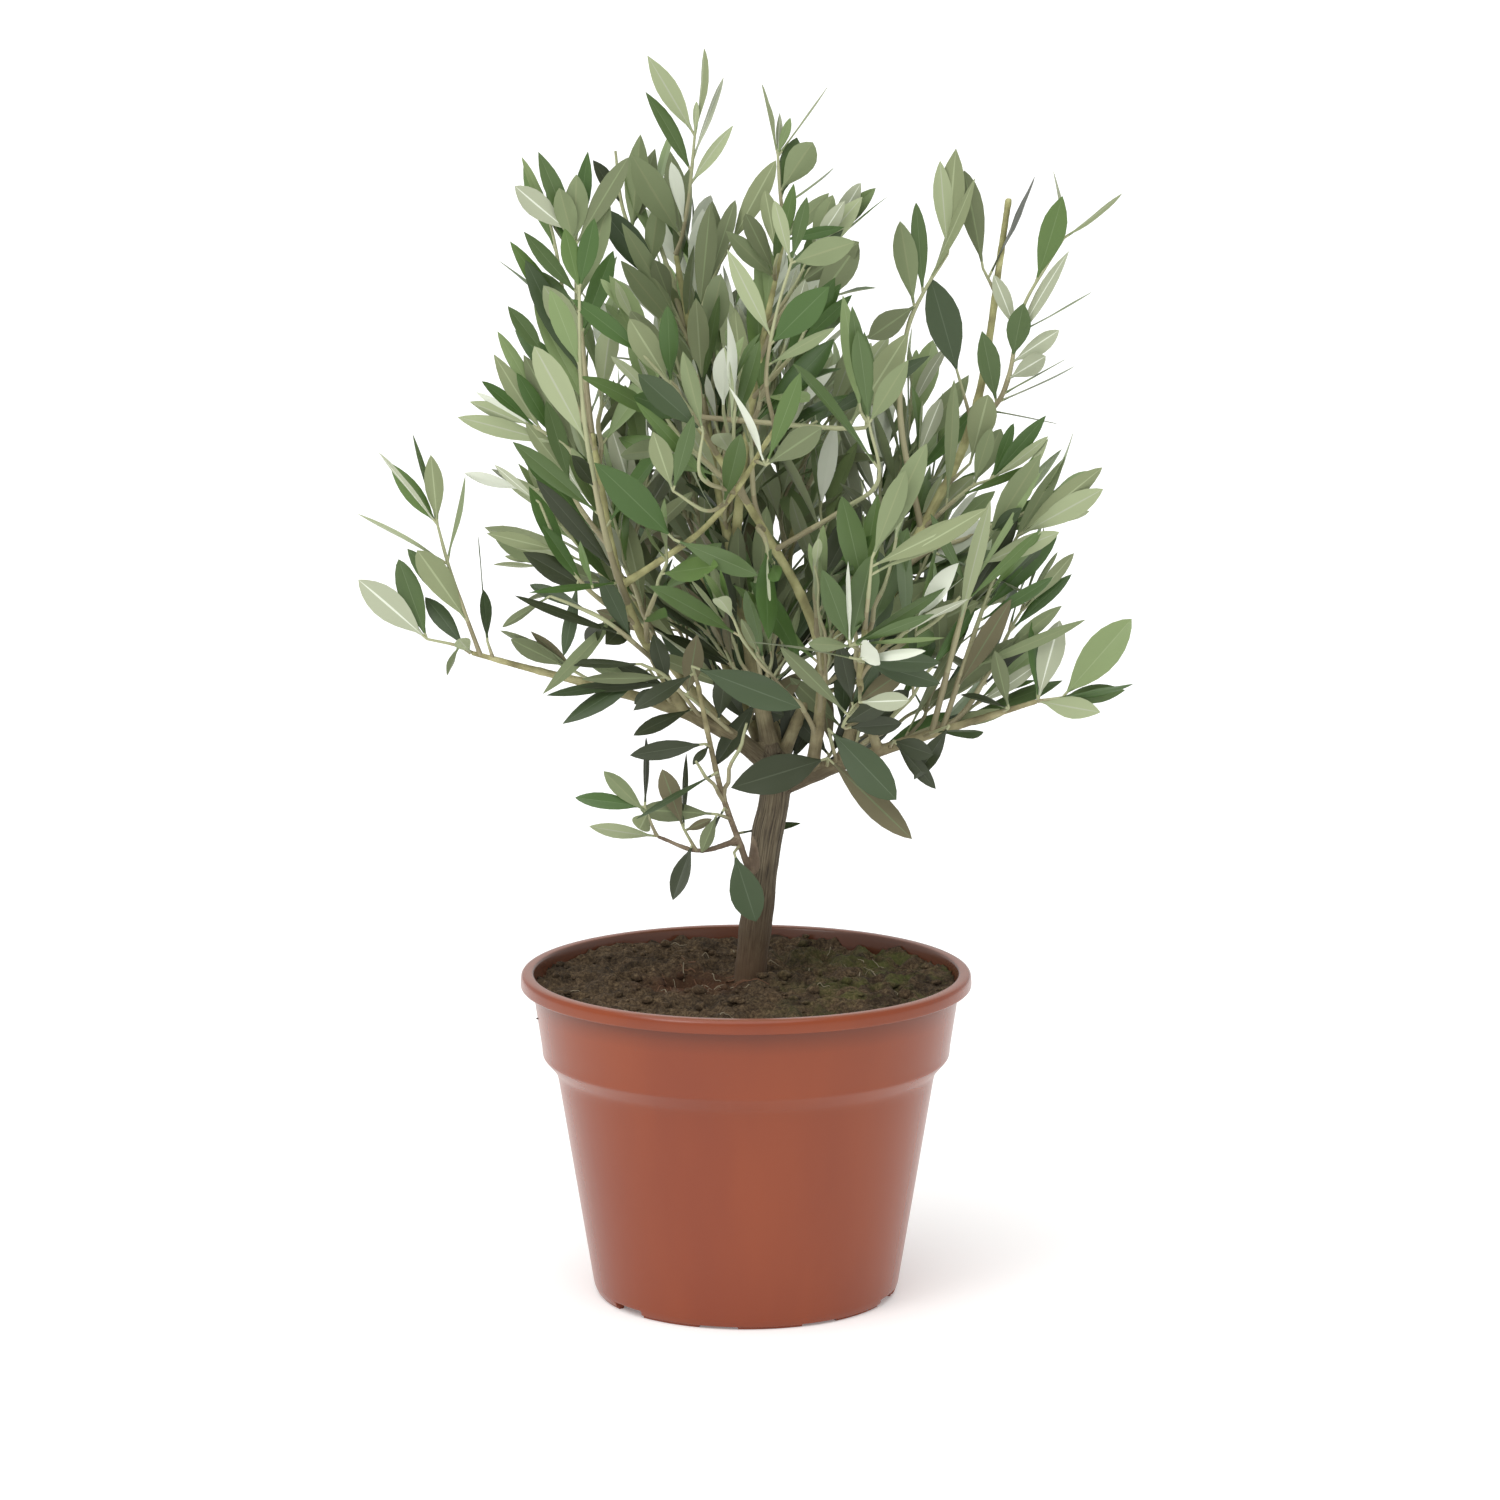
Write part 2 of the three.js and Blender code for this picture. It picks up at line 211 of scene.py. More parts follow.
def ringFaces(rings, count, first=0, inward=False):
    # the quads between rings of points
    faces = []
    for i in range(rings - 1):
        for j in range(count):
            a, k = first + i * count, (j + 1) % count
            b = a + count
            faces.append((a + j, b + j, b + k, a + k) if inward else (a + j, a + k, b + k, b + j))
    return faces


def tube(stem, sides, radii=None):
    # a closed tube round a stem: its vertices and faces
    radii = stem["radii"] if radii is None else radii
    angles = np.linspace(0, 2 * math.pi, sides, endpoint=False)
    around = stem["across"][:, None] * np.cos(angles)[None, :, None]
    around = around + stem["up"][:, None] * np.sin(angles)[None, :, None]
    vertices = (stem["line"][:, None] + around * radii[:, None, None]).reshape(-1, 3)
    ends = [tuple(range(sides))[::-1], tuple(range(len(vertices) - sides, len(vertices)))]
    return vertices, ringFaces(len(radii), sides) + ends


def join(vertices, faces, points, shape):
    # one shape's points and faces go on the end of the others'
    faces += [tuple(i + len(vertices) for i in face) for face in shape]
    vertices += points.tolist()


def makePiece(name, vertices, faces, materials, picks=None, sharpAbove=70):
    # a mesh piece in the frame, smooth apart from edges over that many degrees
    mesh = bpy.data.meshes.new(name)
    mesh.from_pydata((np.asarray(vertices) * mm).tolist(), [], faces)
    for material in materials:
        mesh.materials.append(material)
    if picks is not None:
        mesh.polygons.foreach_set("material_index", np.asarray(picks, np.int32))
    mesh.validate()
    mesh.shade_smooth()
    mesh.set_sharp_from_angle(angle=math.radians(sharpAbove))
    return addObject(name, mesh)


def applyModifier(piece, kind, **settings):
    modifier = piece.modifiers.new(kind.lower(), kind)
    for key, value in settings.items():
        setattr(modifier, key, value)
    bpy.context.view_layer.objects.active = piece
    bpy.ops.object.modifier_apply(modifier=modifier.name)


# the limbs are read back from the CAD solids

ringGap = 4  # two rings of a CAD limb lie further apart than this
trunkLean = 4  # the trunk's foot lies this far left of the middle of its box
trunkLow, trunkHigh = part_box("trunk")
trunkFoot = np.array([(trunkLow.x + trunkHigh.x) / 2, trunkHigh.y / 2, trunkLow.z]) / mm - [trunkLean, 0, 0]


def readLimb(node):
    # the CAD limb is a run of rings: their middles give its centreline
    places = np.array([v.co for v in node.data.vertices]) / mm
    places = np.unique(np.round(places, 2), axis=0)
    away = np.linalg.norm(places - trunkFoot, axis=1)
    root = places[away.argmin()]
    axis = unit(places[away.argmax()] - root)
    along = (places - root) @ axis
    order = np.argsort(along)
    splits = np.flatnonzero(np.diff(along[order]) > ringGap) + 1
    rings = np.split(places[order], splits)
    centres = np.array([ring.mean(axis=0) for ring in rings])
    radii = [np.median(np.linalg.norm(ring - c, axis=1)) for ring, c in zip(rings, centres)]
    if node.name != "trunk":
        radii[0] = 2 * radii[1] - radii[2]
    else:
        # it goes on down under the compost
        centres = np.vstack([2 * centres[0] - centres[1], centres])
        radii.insert(0, radii[0])
    return centres, radii


def readLimbs():
    limbs, bases = {}, {}
    names = ["trunk"] + sorted(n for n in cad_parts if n.startswith("bough_"))
    for name in names:
        bases[name] = readLimb(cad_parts[name])
        limbs[name] = addFrames(smoothLine(*bases[name], step=2.5))
    joined = {"trunk": limbs["trunk"]}
    for name in names[1:]:
        # each bough runs on into the heart of the limb that it leaves
        centres, radii = bases[name]
        others = np.vstack([limbs[other]["line"] for other in names if other != name])
        heart = others[np.linalg.norm(others - centres[0], axis=1).argmin()]
        if np.linalg.norm(heart - centres[0]) > 2:
            centres, radii = np.vstack([heart, centres]), [radii[0]] + list(radii)
        joined[name] = addFrames(smoothLine(centres, radii, step=2.5))
    return joined


limbs = readLimbs()
print("limbs read:", {name: round(limb["run"][-1]) for name, limb in limbs.items()})

wood = {
    "voxel": 0.66,
    "blend": 6,  # rounds of smoothing over the forks
    "collar": 0.16,  # how much wider a bough swells where it leaves its limb
    "collarLength": 7,
    "slim": ("bough_low_riser", "bough_low_left"),
    "slimness": 0.82,
    "knotEvery": 21,  # old leaf nodes ring the boughs
    "knotSwell": 0.13,
    "knotWidth": 1.6,
    # the bark's grain: how tight each kind is across a limb and along it
    "ridges": (1.05, 0.045),
    "cracks": (1.9, 0.1),
    "lumps": (0.16, 0.07),
    "fissureDepth": 0.15,
    "lumpDepth": 0.25,
    "ages": (1.5, 6),  # the bark starts to split at the first radius, and is old at the second
    "scar": {"at": 12, "swell": 0.06, "width": 1.5},  # an old ring above the trunk's foot
    "waves": ((0.025, 0.16, 1), (0.015, 0.41, 0)),  # of the trunk's girth: height, tightness, start
    "stouter": 1.05,  # the trunk, against the CAD's
    "footSlim": 0.29,  # how much slimmer the foot is than the CAD's root flare
    "footLength": 16,
}


def swellings(name, limb):
    # the radius along a limb, with its collar, its leaf nodes and the trunk's uneven girth
    run, radii = limb["run"], limb["radii"].copy()
    if name == "trunk":
        radii *= 1 - wood["footSlim"] * np.exp(-(np.maximum(run - 6, 0) / wood["footLength"]) ** 2)
        scar = wood["scar"]
        swell = 1 + scar["swell"] * np.exp(-((run - scar["at"]) / scar["width"]) ** 2)
        for height, tight, start in wood["waves"]:
            swell += height * np.sin(run * tight + start)
        return radii * wood["stouter"] * swell
    if name in wood["slim"]:
        radii *= wood["slimness"]
    radii *= 1 + wood["collar"] * np.exp(-np.maximum(run - 4, 0) / wood["collarLength"])
    every = wood["knotEvery"] * (0.85 + 0.3 * (len(name) % 5) / 5)
    knot = np.exp(-((((run + every / 2) % every) - every / 2) / wood["knotWidth"]) ** 2)
    return radii * (1 + wood["knotSwell"] * knot * (run > 12))


def makeWood():
    vertices, faces = [], []
    for name, limb in limbs.items():
        join(vertices, faces, *tube(limb, 16, swellings(name, limb)))
    piece = makePiece("bark", vertices, faces, [])
    applyModifier(piece, "REMESH", mode="VOXEL", voxel_size=wood["voxel"] * mm)
    applyModifier(piece, "SMOOTH", factor=0.5, iterations=wood["blend"])
    reliefs(piece)
    return piece


def ownMarks():
    # the points of the limbs' lines, without the stretches inside a thicker limb, which show no bark
    lines = np.vstack([limb["line"] for limb in limbs.values()])
    girths = np.concatenate([limb["radii"] for limb in limbs.values()])
    marks = []
    for name, limb in limbs.items():
        for i, (place, own) in enumerate(zip(limb["line"], limb["radii"])):
            held = (np.linalg.norm(lines - place, axis=1) < girths + own) & (girths > 1.3 * own)
            if name == "trunk" or not held.any():
                marks.append((name, i))
    tree = KDTree(len(marks))
    for index, (name, i) in enumerate(marks):
        tree.insert(limbs[name]["line"][i], index)
    tree.balance()
    return marks, tree


def barkDepth(x, y, along, girth):
    # how far the bark stands out: it is split and lumpy where the limb is old
    def grainy(kind):
        across, lengthwise = wood[kind]
        return noise.noise(Vector((x * across, y * across, along * lengthwise)))

    young, old = wood["ages"]
    age = min(1, max(0, (girth - young) / (old - young)))
    splits = 1 - 2 * abs(grainy("ridges")) - 0.7 * abs(grainy("cracks"))
    return age * (splits * wood["fissureDepth"] - 0.2 + grainy("lumps") * wood["lumpDepth"])


def reliefs(piece):
    # fissures and lumps that follow each limb's own grain, which the material reads too
    marks, tree = ownMarks()
    names = list(limbs)
    mesh = piece.data
    count = len(mesh.vertices)
    places, normals = np.empty(count * 3, np.float32), np.empty(count * 3, np.float32)
    mesh.vertices.foreach_get("co", places)
    mesh.vertices.foreach_get("normal", normals)
    places, normals = places.reshape(-1, 3) / mm, normals.reshape(-1, 3)
    grain, girth, depth = np.empty((count, 3)), np.empty(count), np.empty(count)
    for v, place in enumerate(places):
        name, i = marks[tree.find(place)[1]]
        limb = limbs[name]
        offset = place - limb["line"][i]
        x, y = offset @ limb["across"][i], offset @ limb["up"][i]
        along = limb["run"][i] + offset @ limb["tangents"][i] + 137 * names.index(name)
        grain[v] = x, y, along
        girth[v] = limb["radii"][i]
        depth[v] = barkDepth(x, y, along, girth[v])
    places += normals * depth[:, None]
    places[:, 2] = np.maximum(places[:, 2], trunkLow.z / mm)
    mesh.vertices.foreach_set("co", (places * mm).astype(np.float32).ravel())
    grains = mesh.attributes.new("grain", "FLOAT_VECTOR", "POINT")
    grains.data.foreach_set("vector", grain.astype(np.float32).ravel())
    girths = mesh.attributes.new("girth", "FLOAT", "POINT")
    girths.data.foreach_set("value", girth.astype(np.float32))
    mesh.shade_smooth()
    mesh.update()


def barkMaterial():
    # young olive bark: grey-brown and finely split on the trunk, smoother and paler on the boughs
    material, tree, shader = newMaterial("olive bark", "#7d7261", 0.82)
    grain = addNode(tree, "Attribute", attribute_name="grain").outputs["Vector"]
    girth = addNode(tree, "Attribute", attribute_name="girth").outputs["Fac"]
    # fissures about 1 mm apart and some 15 mm long
    straight = addNode(tree, "Mapping", {"Vector": grain, "Scale": (1.7, 1.7, 0.05)})
    cracks = addNode(tree, "TexNoise", {"Vector": straight, "Scale": 1, "Detail": 4, "Roughness": 0.62})
    blotches = addNode(tree, "TexNoise", {"Vector": grain, "Scale": 0.11, "Detail": 3})
    old = addNode(tree, "ValToRGB", {"Fac": cracks},
                  [(0.34, "#3a3024"), (0.5, "#625744"), (0.66, "#7d725b")])
    green = addNode(tree, "ValToRGB", {"Fac": blotches},
                    [(0.3, "#948e62"), (0.5, "#aaa774"), (0.7, "#bdbb88")])
    tan = addNode(tree, "ValToRGB", {"Fac": blotches},
                  [(0.3, "#6d5c4b"), (0.5, "#83725e"), (0.7, "#988b75")])
    # the low boughs are tan, the high ones still greenish
    places = addNode(tree, "TexCoord").outputs["Object"]
    height = addNode(tree, "SeparateXYZ", {"Vector": places}).outputs["Z"]
    raised = addNode(tree, "MapRange", {"Value": height, "From Min": 0.2, "From Max": 0.3})
    young = addNode(tree, "MixRGB", {"Fac": raised, "Color1": tan, "Color2": green})
    age = addNode(tree, "MapRange", {"Value": girth, "From Min": 2.2, "From Max": 4.6})
    both = addNode(tree, "MixRGB", {"Fac": age, "Color1": young, "Color2": old})
    stain = addNode(tree, "ValToRGB", {"Fac": blotches}, [(0.38, 0.68), (0.62, 1)])
    stained = addNode(tree, "MixRGB", {"Fac": 0.7, "Color1": both, "Color2": stain}, blend_type="MULTIPLY")
    # the foot is damp and red-brown from the compost
    damp = addNode(tree, "MapRange", {"Value": height, "From Min": 0.138, "From Max": 0.178, "To Min": 0.85,
                                      "To Max": 0})
    addNode(tree, "MixRGB", {"Fac": damp, "Color1": stained, "Color2": "#523c26"},
            to=shader.inputs["Base Color"])
    addNode(tree, "Bump", {"Height": cracks, "Strength": 0.55, "Distance": 0.6 * mm},
            to=shader.inputs["Normal"])
    return material


bark = makeWood()
bark.data.materials.append(barkMaterial())
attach(bark, "root")
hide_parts(*limbs)
print("bark made:", len(bark.data.polygons), "faces")

# leathery cuticle above: a soft gloss; fine silver hairs below: no gloss, a pale sheen
upperTones = ["#7f9060", "#7a8d5c", "#587139", "#506538", "#44602c", "#3d4d2f", "#333b24"]
underTones = ["#dadfce", "#a9af95", "#9ca680", "#858e68", "#7c8862", "#6c7554", "#69644a"]
shootTones = ["#a3a680", "#a39e7c", "#928a6c"]
ribLift = 0.09  # how far a rib's colour lies from its leaf's towards white


def lifted(code, share):
    parts = [int(code[i:i + 2], 16) for i in (1, 3, 5)]
    return "#" + "".join(f"{round(c + (255 - c) * share):02x}" for c in parts)


def leafMaterials():
    felt = {"IOR": 1.4, "Sheen Weight": 0.15, "Sheen Roughness": 0.5}
    kinds = [
        ("olive leaf upper", upperTones, 0.42, {"IOR": 1.45}),
        ("olive leaf underside", underTones, 0.72, felt),
        ("olive leaf rib", [lifted(color, ribLift) for color in upperTones], 0.5, {}),
        ("olive shoot", shootTones, 0.6, {}),
    ]
    return [newMaterial(f"{name} {i}", color, roughness, **values)[0]
            for name, tones, roughness, values in kinds for i, color in enumerate(tones, start=1)]


leafFinishes = leafMaterials()
underFirst = len(upperTones)
ribFirst = underFirst + len(underTones)
shootFirst = ribFirst + len(upperTones)

leafForm = {
    "rows": (0.15, 0.24, 0.36, 0.49, 0.62, 0.74, 0.85, 0.94),  # where the blade's rings lie
    "petioleEnd": 0.075,
    "petioleRadius": 0.55,
    "flattening": 0.12,  # the share of the blade over which it goes from round to flat
    "upper": (-1, -0.5, -0.035, 0.035, 0.5, 1),  # across the upper side, margin to margin
    "lower": (0.5, 0.07, -0.07, -0.5),  # and back across the underside
    "thickness": 0.5,
    "thinning": 0.6,  # towards the tip
    "groove": 0.1,
    "rib": 0.25,
    "ribWidth": 0.1,
}


def leafGrid():
    # the faces of one leaf, and which part of it each belongs to
    around = len(leafForm["upper"]) + len(leafForm["lower"])
    rings = 2 + len(leafForm["rows"])
    zoneOf = ["upper", "upper", "rib", "upper", "upper", "under", "under", "underRib", "under", "under"]
    triangles, zones = [], []
    for r in range(rings - 1):
        for k in range(around):
            n = (k + 1) % around
            a, b = r * around, (r + 1) * around
            # both sides are cut along the same diagonals, so that they never cross
            if k < len(leafForm["upper"]) - 1:
                triangles += [(a + k, b + k, b + n), (a + k, b + n, a + n)]
            else:
                triangles += [(a + k, b + k, a + n), (b + k, b + n, a + n)]
            zones += ["petiole" if r == 0 else zoneOf[k]] * 2
    tip = rings * around
    last = (rings - 1) * around
    triangles += [(last + k, tip, last + (k + 1) % around) for k in range(around)]
    return np.array(triangles), zones + zoneOf, tip + 1, around


leafTriangles, leafZones, leafPoints, leafAround = leafGrid()


def leafShapes(leaves):
    # every leaf of a spray at once: rings of points round a bent, twisted, folded blade
    def column(key):
        return np.array([leaf[key] for leaf in leaves], float)[:, None, None]

    share = np.array([0, leafForm["petioleEnd"], *leafForm["rows"], 1])[None, :, None]
    blade = np.clip((share - leafForm["petioleEnd"]) / (1 - leafForm["petioleEnd"]), 1e-6, 1)
    a, b = column("footPower"), column("tipPower")
    peak = (a / (a + b)) ** a * (b / (a + b)) ** b
    outline = blade**a * np.clip(1 - blade, 1e-9, 1) ** b / peak
    half = np.maximum(outline * column("width") / 2, leafForm["petioleRadius"] * (1 - blade))
    v = np.array(leafForm["upper"] + leafForm["lower"])[None, None, :]
    above = np.array([1] * len(leafForm["upper"]) + [-1] * len(leafForm["lower"]))[None, None, :]
    onBlade = np.clip(blade / leafForm["flattening"], 0, 1)
    swell = np.sqrt(np.clip(1 - v**2, 0, 1))
    thick = leafForm["thickness"] * (1 - leafForm["thinning"] * blade) * onBlade
    thick = thick + 2 * leafForm["petioleRadius"] * (1 - onBlade)
    height = above * swell * thick / 2
    middle = np.exp(-((v / leafForm["ribWidth"]) ** 2)) * onBlade * (1 - blade)
    height = height - middle * np.where(above > 0, leafForm["groove"], leafForm["rib"])
    wave = np.sin(2 * math.pi * (column("waves") * share + column("phase")) + np.sign(v) * 0.8)
    height = height + onBlade * half * (column("fold") * np.abs(v) - column("curl") * v**4)
    height = height + onBlade * column("ruffle") * wave * v**2 * half
    side = v * half
    twist = column("twist") * share
    turned = side * np.cos(twist) - height * np.sin(twist)
    height = side * np.sin(twist) + height * np.cos(twist)
    length, bend = column("length"), column("bend")
    angle = bend * share
    x = length * share * np.sinc(angle / math.pi)
    z = -length * share**2 * bend / 2 * np.sinc(angle / 2 / math.pi) ** 2
    x = x + height * np.sin(angle)
    z = z + height * np.cos(angle)
    y = turned + column("sickle") * length * share**2
    base, axis, normal = (np.array([leaf[key] for leaf in leaves]) for key in ("base", "axis", "normal"))
    normal -= axis * (normal * axis).sum(axis=1)[:, None]
    normal /= np.linalg.norm(normal, axis=1)[:, None]
    across = np.cross(normal, axis)
    points = base[:, None, None]
    for along, way in ((x, axis), (y, across), (z, normal)):
        points = points + along[..., None] * way[:, None, None]
    rings = points[:, :-1].reshape(len(leaves), -1, 3)
    tips = points[:, -1].mean(axis=1)[:, None]
    return np.concatenate([rings, tips], axis=1)


def makeLeaves(name, leaves):
    shapes = leafShapes(leaves)
    offsets = np.arange(len(leaves)) * leafPoints
    triangles = (leafTriangles[None] + offsets[:, None, None]).reshape(-1, 3)
    caps = [tuple(range(o, o + leafAround)) for o in offsets]
    picks = [leaf[zone] for leaf in leaves for zone in leafZones]
    picks += [leaf["petiole"] for leaf in leaves]
    return makePiece(name, shapes.reshape(-1, 3), triangles.tolist() + caps, leafFinishes, picks)


habit = {
    "length": (39, 51),
    "slender": (0.19, 0.3),  # width as a share of length
    "node": (12, 19),  # between two pairs of leaves
    "closer": (0.4, 0.6, 0.8, 1),  # how much closer the pairs stand, from the shoot's tip down
    "sizes": (0.5, 0.8, 0.95, 1),  # of the pairs, from the tip down
    "openings": (10, 18, 28, 36, 42, 47),  # degrees off the shoot, from the tip down
    "darker": (-1, -1, 0, 0, 1, 1, 2),  # the steps of tone from the pale young leaves down: partly age, partly painted shade on the older leaves deep in the crown
    "leafy": 95,  # how far down from its tip a shoot keeps its leaves
    "kept": (0.96, 0.85, 0.35),  # a leaf's chance near the tip, its chance lower down, and what that loses
    "spread": {"around": 0.2, "turn": 0.12, "opening": 0.13, "roll": 0.35},  # in radians
    "lift": 0.14,  # of the leaves towards the light
    "sag": 0.3,  # of the leaves in the shade
    "outwards": 1.1,  # how much the upper sides turn out of the crown
    "reach": 85,  # the length that a side shoot likes to have
    "rise": (0.1, 0.5),  # how much a shoot's end turns up
    "wobble": 0.9,
    "starts": {"onLimb": 10, "back": 0.55, "onShoot": (0.12, 0.3, 0.5)},  # where a side shoot may leave
    "slack": 6,  # how far a leaf may pass the skin of the crown's masses
    # where in its list of tones a side of a leaf lies, at a spray's tone of 0, and how much further on at 1;
    # the lists run from pale to dark, so this paints light and shade: sunlit sprays get paler leaves, shaded
    # sprays darker
    "upper": (0.1, 0.78),
    "under": (0.17, 0.66),
    "setUpper": (0.14, 0.62),  # and for the hidden side of a leaf set one by one
    "setUnder": (0.3, 0.42),
    "tip": 0.55,  # a shoot's radius at its tip
    "calm": 0.4,  # how much of its bends and twist a leaf set one by one keeps
}

# inside this egg the crown is full: leaves there needn't keep to the masses
heart = {"middle": (-8, 0, 345), "radii": (92, 90, 100)}

# Each spray's tone, from 0, sunlit, to 1, shaded; and where the rule adds shoots to those set one by one, how
# many, on which limb and at what share of its length
sprays = {
    "far_left_shoot": (0.35,),
    "far_left_tip": (0.35,),
    "left_low": (0.7,),
    "left_mid": (0.5,),
    "left_high": (0.3,),
    "left_top": (0.1, 2, "left_riser", 1),
    "leader_top": (0.1,),
    "leader_left": (0.1, 5, "leader", 0.72),
    "upper_core": (0.3, 9, "leader", 0.56),
    "lower_core": (1.0, 14, "leader", 0.16),
    "top_right": (0.12,),
    "top_right_side": (0.15, 4, "top_right", 0.62),
    "right_top": (0.2,),
    "far_right_top": (0.2,),
    "right_high": (0.35,),
    "right_mid": (0.2, 3, "right_riser", 0.34),
    "right_low": (0.7, 6, "right", 0.64),
    "right_tip": (0.3,),
    "right_under": (0.8,),
    "right_hanging": (0.8,),
    "front_right": (0.45, 5, "front_right", 1),
    "front_right_low": (0.85, 4, "front_right", 0.66),
    "front_centre": (0.62, 9, "centre", 0.6),
    "front_crown": (0.15, 5, "centre", 0.97),
    "across": (0.2, 2, "across", 0.96),
    "front_left": (0.4, 4, "left_riser", 0.62),
    "front_low": (1.0, 5, "low_riser", 0.98),
    "low_left": (0.65,),
    "low_left_high": (0.8,),
    "trunk_side": (0.8,),
}
for bough, shoots in enumerate((6, 8, 8, 1), start=1):
    # the sky shows through the two sides of the fan
    sprays[f"back_high_{bough}"] = (0.15, 7, f"back_{bough}", 0.97)
    sprays[f"back_low_{bough}"] = (0.7, shoots, f"back_{bough}", 0.8)
sprays = {name: dict(zip(("tone", "shoots", "limb", "at"), row)) for name, row in sprays.items()}
for name in ("lower_core", "right_low", "front_right_low", "front_low"):
    sprays[name]["slender"] = (0.15, 0.24)  # old leaves in the shade are narrow
sprays["back_low_4"]["length"] = (27, 34)  # it keeps clear of the long low shoot on the left


